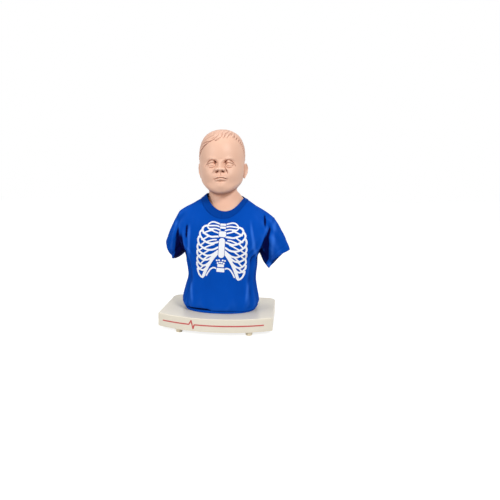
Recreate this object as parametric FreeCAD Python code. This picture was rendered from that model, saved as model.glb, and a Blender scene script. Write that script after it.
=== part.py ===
import FreeCAD, Part
import math
import os

# Auscultation manikin: a child's head and armless torso in a T-shirt, on a low base with a bowed front.
# Millimetres, +Z up, the face looks along -Y, +X is to the viewer's right.
# The origin is on the floor under the middle of the overall outline.

V = FreeCAD.Vector
UP = V(0, 0, 1)

# Base housing
BASE_WIDTH = 350.0
BASE_SIDE_DEPTH = 223.2
BASE_BOW = 42.0
COVER_HEIGHT = 40.4
COVER_WALL = 3.0
COVER_TOP_EDGE = 2.5
COVER_REAR_CORNER = 28.0
COVER_FRONT_CORNER = 3.5
PLATE_THICKNESS = 3.0
FIT_GAP = 0.3

# Feet and screws
FOOT_HEIGHT = 12.0
FOOT_TOP_RADIUS = 12.0
FOOT_TIP_RADIUS = 9.0
FOOT_RECESS_RADIUS = 4.5
FOOT_RECESS_DEPTH = 7.0
FRONT_FOOT_INSET = 69.0
REAR_FOOT_INSET = 35.0
FOOT_SETBACK = 15.0
SCREW_RADIUS = 1.5
SCREW_HEAD_RADIUS = 2.9
SCREW_HEAD_HEIGHT = 2.2
SCREW_HOLE_GAP = 0.15
THREAD_GAP = 0.05
SCREW_LENGTH = 12.0
BOSS_RADIUS = 4.5
BOSS_INSET = 15.0
FOOT_BOSS_HEIGHT = 8.0
CABLE_HOLE_RADIUS = 16.0

# Body place on the base, from the middle of the housing
BODY_SHIFT_X = 7.5
BODY_SHIFT_Y = -10.0
RIGHT_SLEEVE_REACH = 211.7

# Walls of the body
SKIN_WALL = 5.0
CORE_WALL = 4.0
HEAD_WALL = 4.5
HEAD_TURN = 4.5
FLANGE_WIDTH = 22.0
FLANGE_HEIGHT = 7.0

# Shirt
CLOTH = 1.4
RIB_CLOTH = 2.0
PRINT_THICKNESS = 0.35

# Listening pads
PAD_RADIUS = 12.0
PAD_DEPTH = 6.0
PAD_GAP = 0.25
PAD_SINK = 1.2

# Neck fixing
NECK_TOP_HEIGHT = 340.0
NECK_AXIS_Y = 13.0
SPIGOT_RADIUS = 35.0
PLUG_HEIGHT = 11.0
BOLT_RADIUS = 4.0
BOLT_HEAD_ACROSS = 13.0
BOLT_HEAD_HEIGHT = 5.3
NUT_HEIGHT = 6.5
WASHER_RADIUS = 12.0
WASHER_HEIGHT = 2.0

# Electronics in the base
BOARD_LENGTH = 110.0
BOARD_DEPTH = 70.0
BOARD_THICKNESS = 1.6
STANDOFF_HEIGHT = 6.0
STANDOFF_RADIUS = 3.5
BOARD_HOLE_INSET = 4.0
BOARD_REAR_GAP = 1.5
BOARD_SHIFT_X = 62.0
USB_SHIFT_X = 25.0
USB_WALL = 1.0
USB_WIDTH = 12.0
USB_HEIGHT = 11.0
USB_LENGTH = 16.0
JACK_RADIUS = 4.0
JACK_FLANGE_RADIUS = 5.6
JACK_FLANGE_HEIGHT = 1.5
JACK_BODY_LENGTH = 13.0
JACK_BORE_RADIUS = 2.85
JACK_BORE_DEPTH = 9.5
JACK_PIN_RADIUS = 1.05
JACK_NUT_ACROSS = 11.0
JACK_NUT_HEIGHT = 2.2
SWITCH_WIDTH = 13.0
SWITCH_HEIGHT = 19.4
SWITCH_BEZEL = 1.6
SWITCH_BEZEL_DEPTH = 1.8
SWITCH_DEPTH = 15.0
SWITCH_WALL = 1.1
SWITCH_WELL_DEPTH = 11.0
SWITCH_SHIFT_X = -62.0
JACK_SHIFT_X = -34.0
ROCKER_TILT = 7.0
ROCKER_STAND = 3.0
ROCKER_DIP = 1.6
ROCKER_PIVOT_DEPTH = 2.2
ROCKER_KEEL = 3.8
ROCKER_PIN_RADIUS = 1.2
ROCKER_PIN_GAP = 0.05
ROCKER_SIDE_GAP = 0.35
ROCKER_END_GAP = 0.8

# Heartbeat line on the front
TRACE_WIDTH = 3.6
TRACE_HEIGHT = 24.0
TRACE_THICKNESS = 0.3
TRACE_LIFT = 0.1

# Places worked out from the sizes above
base_half = BASE_WIDTH / 2
overall_right = BODY_SHIFT_X + RIGHT_SLEEVE_REACH
base_x = -(overall_right - base_half) / 2
base_depth = BASE_SIDE_DEPTH + BASE_BOW
rear_stand = ROCKER_STAND + 1.0
front_stand = TRACE_LIFT + TRACE_THICKNESS
base_rear = (base_depth - rear_stand + front_stand) / 2
front_y = base_rear - base_depth
bow_radius = (base_half ** 2 + BASE_BOW ** 2) / (2 * BASE_BOW)
cover_bottom = FOOT_HEIGHT
base_top = cover_bottom + COVER_HEIGHT
plate_top = cover_bottom + PLATE_THICKNESS
cavity_top = base_top - COVER_WALL
inner_rear = base_rear - COVER_WALL
body_x = base_x + BODY_SHIFT_X
body_y = base_rear - BASE_SIDE_DEPTH / 2 + BODY_SHIFT_Y
BODY = V(body_x, body_y, base_top)


def save(name, shape):
    """Write one piece to its own file."""
    shape.exportStep("parts/" + name + ".step")


def cylinder(radius, height, at, axis=UP):
    return Part.makeCylinder(radius, height, at, axis)


def hexagon(across, height, at, axis=UP):
    """A hexagonal prism, flat to flat size given, standing on the point along the axis."""
    radius = across / math.sqrt(3)
    corners = [V(radius * math.cos(math.radians(60 * k)), radius * math.sin(math.radians(60 * k)), 0)
               for k in range(7)]
    prism = Part.Face(Part.makePolygon(corners)).extrude(UP * height)
    prism.Placement = FreeCAD.Placement(at, FreeCAD.Rotation(UP, axis))
    return prism


def pan_screw(under_head, axis, length, radius=SCREW_RADIUS, head_radius=SCREW_HEAD_RADIUS,
              head_height=SCREW_HEAD_HEIGHT):
    """A pan head screw whose shank runs along the axis from under its head, with a cross recess."""
    shank = cylinder(radius, length, under_head, axis)
    head = cylinder(head_radius, head_height, under_head - axis * head_height, axis)
    head = head.makeFillet(head_height * 0.45, [edge for edge in head.Edges
                                                if edge.CenterOfMass.distanceToPoint(
                                                    under_head - axis * head_height) < 0.01])
    turn = FreeCAD.Rotation(UP, axis)
    slot = Part.makeBox(head_radius * 1.1, radius * 0.5, head_height * 0.5)
    slot.translate(V(-head_radius * 0.55, -radius * 0.25, -0.01))
    other = slot.copy()
    other.rotate(V(0, 0, 0), UP, 90)
    cross = slot.fuse(other)
    cross.Placement = FreeCAD.Placement(under_head - axis * head_height, turn).multiply(cross.Placement)
    return head.fuse(shank).cut(cross)


def power(value, exponent):
    return math.copysign(abs(value) ** exponent, value)


def bump(distance, width):
    """A smooth hill, 1 in the middle and fading over the width."""
    return math.exp(-(distance / width) ** 2)


def ease(value, low, high):
    """0 below low, 1 above high and smooth between."""
    share = max(0.0, min(1.0, (value - low) / (high - low)))
    return share * share * (3 - 2 * share)


def between(sections, step):
    """The section at a step between the rows of a table, on a smooth curve through them."""
    last = len(sections) - 1
    row = max(0, min(last - 1, int(step)))
    part = step - row
    before, here, after, beyond = [sections[max(0, min(last, row + shift))] for shift in (-1, 0, 1, 2)]
    values = []
    for a, b, c, d in zip(before, here, after, beyond):
        values.append(b + 0.5 * part * (c - a + part * (2 * a - 5 * b + 4 * c - d
                                                      + part * (3 * (b - c) + d - a))))
    return values


def ring_point(section, angle):
    """A point of one closed section. Angle 0 is the front and 90 degrees is the viewer's right."""
    half, middle, side_y, side_z, ahead_y, ahead_z, behind_y, behind_z, square, flat = section
    ahead = math.cos(angle)
    across = math.sin(angle)
    bend = abs(ahead) ** (2 / square)
    end_y, end_z = (ahead_y, ahead_z) if ahead > 0 else (behind_y, behind_z)
    lift = flat * bend + (1 - flat) * ahead * ahead
    return V(middle + half * power(across, 2 / square),
             side_y + (end_y - side_y) * bend,
             side_z + (end_z - side_z) * lift)


def outward(surface, angle, step):
    """The unit vector that points out of a surface given by angle and step."""
    small = 0.01
    along = surface(angle + small, step) - surface(angle - small, step)
    upward = surface(angle, step + small) - surface(angle, step - small)
    normal = along.cross(upward)
    if normal.Length < 1e-9:
        return V(UP)
    return normal.normalize()


def in_plane(direction, plane):
    """The direction laid into a plane, at length 1."""
    laid = direction - plane * direction.dot(plane)
    return laid.normalize()


def rows_of(surface, angles, steps, depth=0.0, low_plane=None, high_plane=None):
    """Rows of points on a surface, or a depth below it. End rows may keep to a plane."""
    rows = []
    for step in steps:
        row = []
        for angle in angles:
            point = surface(angle, step)
            if depth:
                away = outward(surface, angle, step)
                if step == steps[0] and low_plane:
                    away = in_plane(away, low_plane)
                if step == steps[-1] and high_plane:
                    away = in_plane(away, high_plane)
                point = point - away * depth
            row.append(point)
        rows.append(row)
    return rows


def skin_face(rows):
    """One smooth face, closed around and open or pointed at its two ends."""
    count = len(rows[0])
    columns = [[row[k] for row in rows] for k in range(count)]
    surface = Part.BSplineSurface()
    surface.buildFromPolesMultsKnots(columns, [1] * (count + 1), [4] + [1] * (len(rows) - 4) + [4],
                                     list(range(count + 1)), list(range(len(rows) - 2)), True, False, 3, 3)
    return surface.toShape()


def rims(face):
    """The closed rim edges of a skin face, lowest first."""
    edges = [edge for edge in face.Edges if edge.isClosed() and not edge.Degenerated and edge.Length > 1]
    return sorted(edges, key=lambda edge: edge.CenterOfMass.z)


def solid_of(faces):
    shell = Part.makeShell(faces)
    if len(faces) > 1:
        shell.sewShape(0.001)
    if shell.ShapeType != "Shell":
        shell = shell.Shells[0]
    solid = Part.makeSolid(shell)
    if solid.Volume < 0:
        solid.reverse()
    return solid


def wall_between(outer_rows, inner_rows):
    """A thin wall between two skins, closed along its rims."""
    outer = skin_face(outer_rows)
    inner = skin_face(inner_rows)
    rings = [Part.makeRuledSurface(a, b) for a, b in zip(rims(outer), rims(inner))]
    return solid_of([outer, inner] + rings)


def block_of(rows):
    """A full solid inside a skin whose ends are flat or pointed."""
    face = skin_face(rows)
    caps = [Part.Face(Part.Wire([edge])) for edge in rims(face)]
    return solid_of([face] + caps)


def front_dense(count):
    """Angles all the way round, closer together at the front."""
    crowding = 0.5
    turns = [2 * math.pi * k / count for k in range(count)]
    return [turn - crowding * math.sin(turn) for turn in turns]


def even(count):
    return [2 * math.pi * k / count for k in range(count)]


def steps_from(first, last, count):
    return [first + (last - first) * k / (count - 1) for k in range(count)]


# Seam between neck and torso, in a plane that rises to the back
SEAM_HALF = 76.0
SEAM_HEIGHT = 327.0
SEAM_SIDE_Y = 7.0
SEAM_REACH = 57.0
SEAM_SLOPE = 0.35
seam_rise = SEAM_SLOPE * SEAM_REACH
seam_plane = V(0, -SEAM_SLOPE, 1).normalize()
SEAM = (SEAM_HALF, 0, SEAM_SIDE_Y, SEAM_HEIGHT, SEAM_SIDE_Y - SEAM_REACH, SEAM_HEIGHT - seam_rise,
        SEAM_SIDE_Y + SEAM_REACH, SEAM_HEIGHT + seam_rise, 2.05, 1)

# Section columns, all from the body's axis and the top of the base: half width, middle x, side y and z,
# front y and z, back y and z, squareness, and how far the section lies in one plane.
TORSO = [
    (98, 0, 0, 0, -72, 0, 66, 0, 2.5, 0),
    (93, 0, 0, 50, -72, 50, 62, 50, 2.5, 0),
    (92, 0, 0, 100, -71, 100, 62, 100, 2.5, 0),
    (97, 0, 0, 150, -73, 148, 66, 150, 2.5, 0),
    (102, 0, 0, 172, -74, 168, 68, 172, 2.5, 0),
    (113, 0, 0, 187, -74, 183, 70, 187, 2.5, 0),
    (128, 0, 1, 206, -73, 200, 71, 206, 2.5, 0),
    (138, 0, 2, 233, -70, 222, 72, 233, 2.5, 0),
    (140, 0, 3, 265, -66, 245, 72, 265, 2.4, 0),
    (131, 0, 4, 289, -62, 264, 71, 291, 2.3, 0),
    (115, 0, 5, 305, -58, 280, 69, 313, 2.3, 0),
    (97, 0, 6, 317, -54, 294, 67, 331, 2.2, 0.5),
    SEAM,
]

HEAD = [
    SEAM,
    (66, 6, 9, 336, -45, 316, 62, 355, 2.0, 0.5),
    (57, 9, 12, 346, -36, 328, 61, 363, 2.0, 0),
    (50, 7, 14, 357, -30, 341, 60, 371, 2.0, 0),
    (45, 2.5, 15, 367, -28, 353, 61, 378, 2.0, 0),
    (45, 0.5, 14, 375, -38, 361, 62, 386, 2.0, 0),
    (49, 0, 10, 383, -58, 366, 66, 395, 2.1, 0),
    (54, 0, 6, 391, -73, 371, 74, 406, 2.1, 0),
    (60, 0, 3, 400, -81, 379, 83, 420, 2.2, 0),
    (65, 0, 2, 410, -83, 391, 89, 437, 2.2, 0),
    (68.5, 0, 2, 421, -84, 404, 93, 454, 2.2, 0),
    (69, 0, 3, 434, -85, 418, 95, 470, 2.2, 0),
    (69.5, 0, 5, 449, -85, 434, 96, 485, 2.2, 0),
    (69.5, 0, 7, 466, -83, 452, 95, 500, 2.2, 0),
    (69.5, 0, 9, 484, -83, 471, 92, 514, 2.2, 0),
    (67.5, 0, 10, 502, -82, 492, 86, 526, 2.1, 0),
    (61.5, 0, 10, 520, -75, 513, 75, 537, 2.1, 0),
    (51.5, 0, 10, 536, -60, 532, 58, 546, 2.0, 0),
    (35, 0, 9, 548, -37, 547, 36, 552, 2.0, 0),
    (17, 0, 8, 554.5, -12, 554.5, 22, 556, 2.0, 0),
    (0, 0, 5, 556.4, 5, 556.4, 5, 556.4, 2.0, 0),
]

SHIRT = [
    (112, -2, 0, 0.4, -87, 0.4, 80, 0.4, 2.4, 0),
    (112.5, -2, 0, 4, -87.5, 5, 80, 4, 2.4, 0),
    (107, -2, 0, 8, -82, 10, 76, 8, 2.4, 0),
    (117, -2, 0, 8, -88, 11, 82, 8, 2.4, 0),
    (119, -3, 0, 13, -92, 16, 87, 13, 2.3, 0),
    (120.5, -3, 0, 28, -91, 32, 86, 28, 2.3, 0),
    (114, -2, 0, 62, -86, 64, 80, 62, 2.3, 0),
    (106, 1, 0, 100, -81, 100, 76, 100, 2.4, 0),
    (110, 2, 0, 138, -79, 136, 76, 138, 2.4, 0),
    (116, 0, 0, 168, -79, 162, 77, 168, 2.4, 0),
    (129, 3, 0, 186, -79, 178, 78, 186, 2.4, 0),
    (158, 6, 1, 214, -78, 200, 79, 216, 2.4, 0),
    (170, 8, 2, 252, -76, 222, 79, 252, 2.4, 0),
    (158, 9, 3, 286, -73, 242, 79, 286, 2.3, 0),
    (133, 9, 4, 308, -70, 260, 78, 314, 2.3, 0),
    (102, 9, 5, 326, -66, 275, 77, 336, 2.3, 0),
    (73, 9, 6, 343.5, -62, 288.6, 74, 352, 2.3, 0),
]
NECKLINE = (58, 11, 7, 356, -52, 312, 69, 362, 2.2, 0)
SHIRT_ROLL = 0.026
SHOULDER_ROLL = 0.022
NECK_ROLL = 0.07

# Eyes, nose and mouth, as places across and up the face
EYE_X = 27.5
EYE_Z = 452.6
NOSE_TIP_Z = 434.5
NOSE_REACH = 14.5
MOUTH_Z = 411.6
MOUTH_HALF = 20.7
CHIN_Z = 386.0
BROW_Z = 470.0
HAIR_RELIEF = 1.3


def turn_about_neck(point, share):
    """Turn a point of the head about the neck by a share of the head's turn."""
    angle = math.radians(HEAD_TURN) * share
    y = point.y - NECK_AXIS_Y
    return V(point.x * math.cos(angle) - y * math.sin(angle),
             NECK_AXIS_Y + point.x * math.sin(angle) + y * math.cos(angle), point.z)


def hairline(angle):
    """Lowest height of the hair at an angle round the head."""
    side = abs(math.atan2(math.sin(angle), math.cos(angle)))
    height = 519 - 8 * ease(side, 0.4, 0.9) - 52 * ease(side, 0.95, 1.35)
    return height - 58 * ease(side, 1.9, 2.7)


def nose_profile(z):
    """How far the ridge of the nose stands out of the face at a height."""
    over = (z - NOSE_TIP_Z) / 18.0
    under = (z - NOSE_TIP_Z) / 8.5
    return NOSE_REACH * (math.exp(-abs(over) ** 1.7) if z > NOSE_TIP_Z else math.exp(-under ** 2))


def face_relief(x, z):
    """How far the face stands proud of the plain head at a place on its front."""
    side = abs(x)
    ridge_width = 7.5 + 4.5 * bump(z - NOSE_TIP_Z, 10)
    relief = nose_profile(z) * bump(x, ridge_width)
    relief += 6.0 * bump(side - 11.5, 5.0) * bump(z - NOSE_TIP_Z + 2, 6)
    relief -= 3.0 * bump(side - 5, 2.8) * bump(z - NOSE_TIP_Z + 7, 2.6)
    relief -= 8.0 * bump(side - EYE_X + 2, 17) * bump(z - EYE_Z - 2, 12)
    relief += 6.0 * bump(side - EYE_X, 11) * bump(z - EYE_Z, 7.5)
    relief += 2.6 * bump(side - EYE_X + 4, 17) * bump(z - BROW_Z, 6)
    relief += 5.0 * bump(side - 38, 19) * bump(z - 424, 19)
    relief += 4.0 * bump(x, 25) * bump(z - MOUTH_Z - 1, 16)
    droop = MOUTH_Z - 4 * (x / MOUTH_HALF) ** 2
    lips = bump(x, MOUTH_HALF * 0.85)
    relief += 3.4 * lips * bump(z - droop - 5, 4.4)
    relief += 3.8 * bump(x, MOUTH_HALF * 0.7) * bump(z - droop + 6, 4.6)
    relief -= 2.6 * bump(x / MOUTH_HALF, 1.1) * bump(z - droop, 2.2)
    relief -= 2.6 * bump(x, 17) * bump(z - CHIN_Z - 12, 5)
    relief += 4.0 * bump(x, 15) * bump(z - CHIN_Z, 10)
    return relief


def head_skin(angle, step):
    """The head and neck without the face."""
    point = ring_point(between(HEAD, step), angle)
    return turn_about_neck(point, ease(step, 2, 6))


def head_surface(angle, step):
    """The head with its face and hair."""
    plain = ring_point(between(HEAD, step), angle)
    if step > 19.5 or step < 5:
        return head_skin(angle, step)
    away = outward(lambda a, s: ring_point(between(HEAD, s), a), angle, step)
    forward = max(0.0, -away.y)
    proud = face_relief(plain.x, plain.z) * ease(math.cos(angle), 0.1, 0.55) * ease(step, 6.2, 7.5)
    hair = HAIR_RELIEF * ease(plain.z - hairline(angle), -4, 4) * ease(step, 7, 8.5)
    lean = away * hair + (V(0, -1, 0) * 0.75 + away * 0.25) * proud * (0.5 + 0.5 * forward)
    return turn_about_neck(plain + lean, ease(step, 2, 6))


def place_on(surface, across, level, z, angle, step):
    """The angle and step at which a surface passes a place across and up, by Newton's rule."""
    small = 0.01
    for _ in range(12):
        here = surface(angle, step)
        turned = (surface(angle + small, step) - here) * (1 / small)
        raised = (surface(angle, step + small) - here) * (1 / small)
        miss = level - here.dot(across)
        miss_z = z - here.z
        spread = turned.dot(across) * raised.z - turned.z * raised.dot(across)
        angle += (miss * raised.z - miss_z * raised.dot(across)) / spread
        step += (turned.dot(across) * miss_z - turned.z * miss) / spread
    return angle, step


# Ear, as rows from its hollow over the rim to its root: share of the outline, height over the head
EAR_HALF_HEIGHT = 24.0
EAR_HALF_WIDTH = 14.0
EAR_Z = 428.0
EAR_Y = 14.0
EAR_ROWS = [(0, 3.0), (0.25, 3.0), (0.42, 3.8), (0.56, 7.0), (0.70, 7.2), (0.82, 6.8), (0.93, 9.4),
            (1.02, 9.0), (1.05, 6.0), (1.0, 3.0), (0.94, 0.5), (0.88, -2.2), (0.4, -2.2), (0, -2.2)]


def ear(side):
    """One outer ear, rooted in the wall of the head. Side is 1 for the viewer's right."""
    rows = []
    count = 20
    for share, height in EAR_ROWS:
        row = []
        for turn in even(count):
            upward = math.cos(turn)
            back = math.sin(turn)
            narrow = 0.82 + 0.18 * upward
            y = EAR_Y + share * EAR_HALF_WIDTH * back * narrow - 3 * share * upward * -0.6
            z = EAR_Z + share * EAR_HALF_HEIGHT * upward
            angle, step = place_on(head_skin, V(0, 1, 0), y, z, side * math.pi / 2, 11)
            forward = min(1.0, share) * (1 - ease(back, -1.1, 0.5))
            lobe = min(1.0, share) * ease(-upward, 0.1, 1)
            stand = height * (1 - 0.55 * forward) * (1 - 0.4 * lobe) if height > 0 else height
            row.append(head_skin(angle, step) + outward(head_skin, angle, step) * stand)
        rows.append(row)
    return solid_of([skin_face(rows)])


def make_head():
    angles = front_dense(72)
    steps = steps_from(0, 6.5, 11) + steps_from(6.8, 16, 42) + steps_from(16.6, 20, 8)
    outer = rows_of(head_surface, angles, steps)
    inner = rows_of(head_skin, angles, steps_from(0, 20, 30), HEAD_WALL, low_plane=seam_plane)
    outer_face = skin_face(outer)
    inner_face = skin_face(inner)
    rim = Part.makeRuledSurface(rims(outer_face)[0], rims(inner_face)[0])
    shell = solid_of([outer_face, inner_face, rim])
    return shell.fuse([ear(-1), ear(1)])


def torso_surface(angle, step):
    return ring_point(between(TORSO, step), angle)


def make_skin():
    angles = front_dense(72)
    steps = steps_from(0, 12, 26)
    outer = rows_of(torso_surface, angles, steps)
    inner = rows_of(torso_surface, angles, steps, SKIN_WALL, low_plane=UP, high_plane=seam_plane)
    return wall_between(outer, inner)


def make_plug(inner_wall):
    """The plug that fills the neck's opening and rests on the spigot of the core."""
    slab = Part.makeBox(200, 200, PLUG_HEIGHT, V(-100, -100, NECK_TOP_HEIGHT))
    hole = cylinder(BOLT_RADIUS + SCREW_HOLE_GAP, PLUG_HEIGHT, V(0, NECK_AXIS_Y, NECK_TOP_HEIGHT))
    return inner_wall.common(slab).cut(hole)


# Top of the core, from its shoulders to the spigot that carries the neck
CORE_TOP = [
    (66, 0, 8, 315, -40, 298, 58, 331, 2.1, 0.5),
    (46, 0, 11, 319, -31, 308, 54, 331, 2.0, 0.5),
    (SPIGOT_RADIUS + 2, 0, NECK_AXIS_Y, 325, NECK_AXIS_Y - SPIGOT_RADIUS - 2, 320,
     NECK_AXIS_Y + SPIGOT_RADIUS + 2, 331, 2.0, 0),
    (SPIGOT_RADIUS, 0, NECK_AXIS_Y, NECK_TOP_HEIGHT - 5, NECK_AXIS_Y - SPIGOT_RADIUS, NECK_TOP_HEIGHT - 5,
     NECK_AXIS_Y + SPIGOT_RADIUS, NECK_TOP_HEIGHT - 5, 2.0, 0),
    (SPIGOT_RADIUS, 0, NECK_AXIS_Y, NECK_TOP_HEIGHT, NECK_AXIS_Y - SPIGOT_RADIUS, NECK_TOP_HEIGHT,
     NECK_AXIS_Y + SPIGOT_RADIUS, NECK_TOP_HEIGHT, 2.0, 0),
]

# Listening sites: across, up and whether on the front, as heart, windpipe and lung sites
PAD_SITES = {
    "pad_aortic": (-17, 255, True),
    "pad_pulmonic": (17, 255, True),
    "pad_tricuspid": (17, 206, True),
    "pad_mitral": (45, 184, True),
    "pad_windpipe": (0, 283, True),
    "pad_lung_front_upper_left": (52, 250, True),
    "pad_lung_front_upper_right": (-52, 250, True),
    "pad_lung_front_lower_left": (58, 138, True),
    "pad_lung_front_lower_right": (-58, 138, True),
    "pad_lung_back_upper_left": (42, 272, False),
    "pad_lung_back_upper_right": (-42, 272, False),
    "pad_lung_back_lower_left": (42, 190, False),
    "pad_lung_back_lower_right": (-42, 190, False),
}
FLANGE_SCREW_SPREAD = (76.0, 48.0)


def pad_place(site):
    """The middle of a pad's face on the core, and the direction it faces."""
    x, z, front = site
    start = 0.001 if front else math.pi
    angle, step = place_on(torso_surface, V(1, 0, 0), x, z, start, 12 * z / SEAM_HEIGHT)
    away = outward(torso_surface, angle, step)
    return torso_surface(angle, step) - away * (SKIN_WALL + FIT_GAP), away


def core_ring(section, depth, angles):
    """A ring of the core's top, a depth inside it."""
    half, middle, side_y, side_z, ahead_y, ahead_z, behind_y, behind_z, square, flat = section
    inside = (half - depth, middle, side_y, side_z - depth, ahead_y + depth, ahead_z - depth,
              behind_y - depth, behind_z - depth, square, flat)
    return [ring_point(inside, angle) for angle in angles]


def core_block(depth):
    angles = front_dense(60)
    rows = rows_of(torso_surface, angles, steps_from(0, 11, 23), SKIN_WALL + FIT_GAP + depth, low_plane=UP)
    rows += [core_ring(section, depth, angles) for section in CORE_TOP]
    return block_of(rows)


def flange_places():
    """Where the screws go through the core's foot."""
    wide, deep = FLANGE_SCREW_SPREAD
    turns = [math.radians(30 + 60 * k) for k in range(6)]
    return [V(wide * math.cos(turn), deep * math.sin(turn), 0) for turn in turns]


def make_core():
    inner = core_block(CORE_WALL)
    room = Part.makeBox(400, 400, 400, V(-200, -200, FLANGE_HEIGHT))
    first = TORSO[0]
    inset = SKIN_WALL + FIT_GAP + CORE_WALL + FLANGE_WIDTH
    mouth = [ring_point((first[0] - inset, 0, 0, 0, first[4] + inset, 0, first[6] - inset, 0, 2.3, 1), turn)
             for turn in even(40)]
    opening = Part.BSplineCurve()
    opening.interpolate(Points=mouth, PeriodicFlag=True)
    opening = Part.Face(Part.Wire([opening.toShape()])).extrude(UP * (FLANGE_HEIGHT + 1))
    core = core_block(0).cut(inner.common(room)).cut(opening)
    holes = [cylinder(BOLT_RADIUS + SCREW_HOLE_GAP, 20, V(0, NECK_AXIS_Y, NECK_TOP_HEIGHT - 15))]
    for place in flange_places():
        holes.append(cylinder(SCREW_RADIUS + THREAD_GAP, FLANGE_HEIGHT - 0.8, place))
    for site in PAD_SITES.values():
        face, away = pad_place(site)
        holes.append(cylinder(PAD_RADIUS + PAD_GAP, CORE_WALL + 14, face + away * 5, -away))
    return core.cut(Part.makeCompound(holes))


def make_pad(site):
    """A round sounder with a raised rim and a cone, sunk in its hole in the core."""
    face, away = pad_place(site)
    front = face - away * PAD_SINK
    body = cylinder(PAD_RADIUS, PAD_DEPTH, front, -away)
    magnet = cylinder(PAD_RADIUS * 0.5, PAD_DEPTH * 0.5, front - away * PAD_DEPTH, -away)
    dish = Part.makeCone(PAD_RADIUS * 0.82, PAD_RADIUS * 0.3, PAD_DEPTH * 0.3, front, -away)
    return body.fuse(magnet).cut(dish)


# Soft folds of the shirt: angle, half width, first and last step, height, and drift of the angle per step
SHIRT_FOLDS = [
    (-0.80, 0.09, 5, 13, 3.2, 0.010),
    (-1.08, 0.10, 4, 10.5, 3.4, -0.015),
    (-0.45, 0.12, 4, 7, 2.0, 0.030),
    (0.42, 0.12, 4, 7, 2.0, -0.030),
    (0.86, 0.09, 5, 13, 3.6, -0.012),
    (1.12, 0.10, 4, 10.5, 3.4, 0.015),
    (1.60, 0.12, 4, 9, 3.0, 0.0),
    (-1.60, 0.12, 4, 9, 3.0, 0.0),
    (2.05, 0.12, 4, 12, 3.0, 0.010),
    (-2.10, 0.12, 4, 12, 3.0, -0.010),
    (2.60, 0.13, 4, 11, 2.6, 0.015),
    (-2.65, 0.13, 4, 11, 2.6, -0.015),
    (3.12, 0.13, 4, 9, 2.2, 0.0),
]
SHIRT_SWAY = 1.6


def shirt_plain(angle, step):
    point = ring_point(between(SHIRT, step), angle)
    return point - UP * (point.x * (SHIRT_ROLL * ease(step, 8, 12) + SHOULDER_ROLL * ease(step, 12, 15)))


def shirt_surface(angle, step):
    """The outside of the shirt's body, with its folds and the sway of its blouse over the hem."""
    folds = 0.0
    for place, width, first, last, height, drift in SHIRT_FOLDS:
        turn = angle - place - drift * (step - first)
        turn = math.atan2(math.sin(turn), math.cos(turn))
        folds += height * bump(turn, width) * ease(step, first - 1, first + 1) * (1 - ease(step, last - 2, last))
    folds += SHIRT_SWAY * math.sin(7 * angle + 0.6) * ease(step, 2.5, 4) * (1 - ease(step, 6, 9))
    if not folds:
        return shirt_plain(angle, step)
    away = outward(shirt_plain, angle, step)
    return shirt_plain(angle, step) + V(away.x, away.y, 0) * folds


SHIRT_STEPS = steps_from(0, 4.5, 10) + steps_from(5, 16, 23)
SHIRT_ANGLES = even(88)

# Armhole seams and sleeve hems: across and up, on the viewer's left and right
ARMPIT_HEIGHT = {-1: 169.5, 1: 174.5}
SHOULDER = {-1: (-134.0, 304.0), 1: (160.8, 286.6)}
HEM_TOP = {-1: (-178.5, 213.0), 1: (RIGHT_SLEEVE_REACH, 188.0)}
HEM_LOW = {-1: (-158.0, 151.0), 1: (152.6, 131.0)}
HEM_DEPTH = {-1: 42.0, 1: 37.0}
HEM_FRONT_RISE = {-1: 4.0, 1: 12.0}
SLEEVE_PUFF = 5.0


def armpit(side):
    """The place on the shirt's side at the height of the armpit."""
    low, high = 4.0, 12.0
    for _ in range(24):
        step = (low + high) / 2
        point = shirt_surface(side * math.pi / 2, step)
        low, high = (step, high) if point.z < ARMPIT_HEIGHT[side] else (low, step)
    return V(point.x, 0, point.z)


def armhole_frame(side):
    """Middle, upward direction and outward direction of an armhole seam's plane."""
    low = armpit(side)
    high = V(SHOULDER[side][0], 0, SHOULDER[side][1])
    upward = (high - low).normalize()
    return (low + high) * 0.5, upward, V(upward.z, 0, -upward.x) * side


def beyond_armhole(side):
    """A block that fills the space outside an armhole seam's plane, above the armpit."""
    middle, upward, away = armhole_frame(side)
    size = 400
    across = upward.cross(away)
    corner = armpit(side) - across * size / 2
    corners = [corner, corner + upward * size, corner + upward * size + across * size, corner + across * size]
    return Part.Face(Part.makePolygon(corners + [corner])).extrude(away * size)


def armhole_ring(skin, side):
    """The seam where a skin of the shirt meets the armhole plane, as a function of the angle round it."""
    middle, upward, away = armhole_frame(side)
    size = 300
    across = away.cross(upward)
    corner = middle - upward * size / 2 - across * size / 2
    plane = Part.Face(Part.makePolygon([corner, corner + upward * size, corner + (upward + across) * size,
                                        corner + across * size, corner]))
    points = []
    for edge in skin.section(plane).Edges:
        points += edge.discretize(Number=60)
    reach = (middle - armpit(side)).Length
    polar = sorted(((math.atan2((point - middle).dot(across), (point - middle).dot(upward))) % (2 * math.pi), point)
                   for point in points if (point - middle).dot(upward) > -reach)
    polar = [(polar[-1][0] - 2 * math.pi, polar[-1][1])] + polar + [(polar[0][0] + 2 * math.pi, polar[0][1])]

    def ring(angle):
        angle = angle % (2 * math.pi)
        for (low, start), (high, end) in zip(polar, polar[1:]):
            if low <= angle <= high:
                share = (angle - low) / max(high - low, 1e-9)
                return start + (end - start) * share
        return polar[0][1]
    return ring


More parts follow.
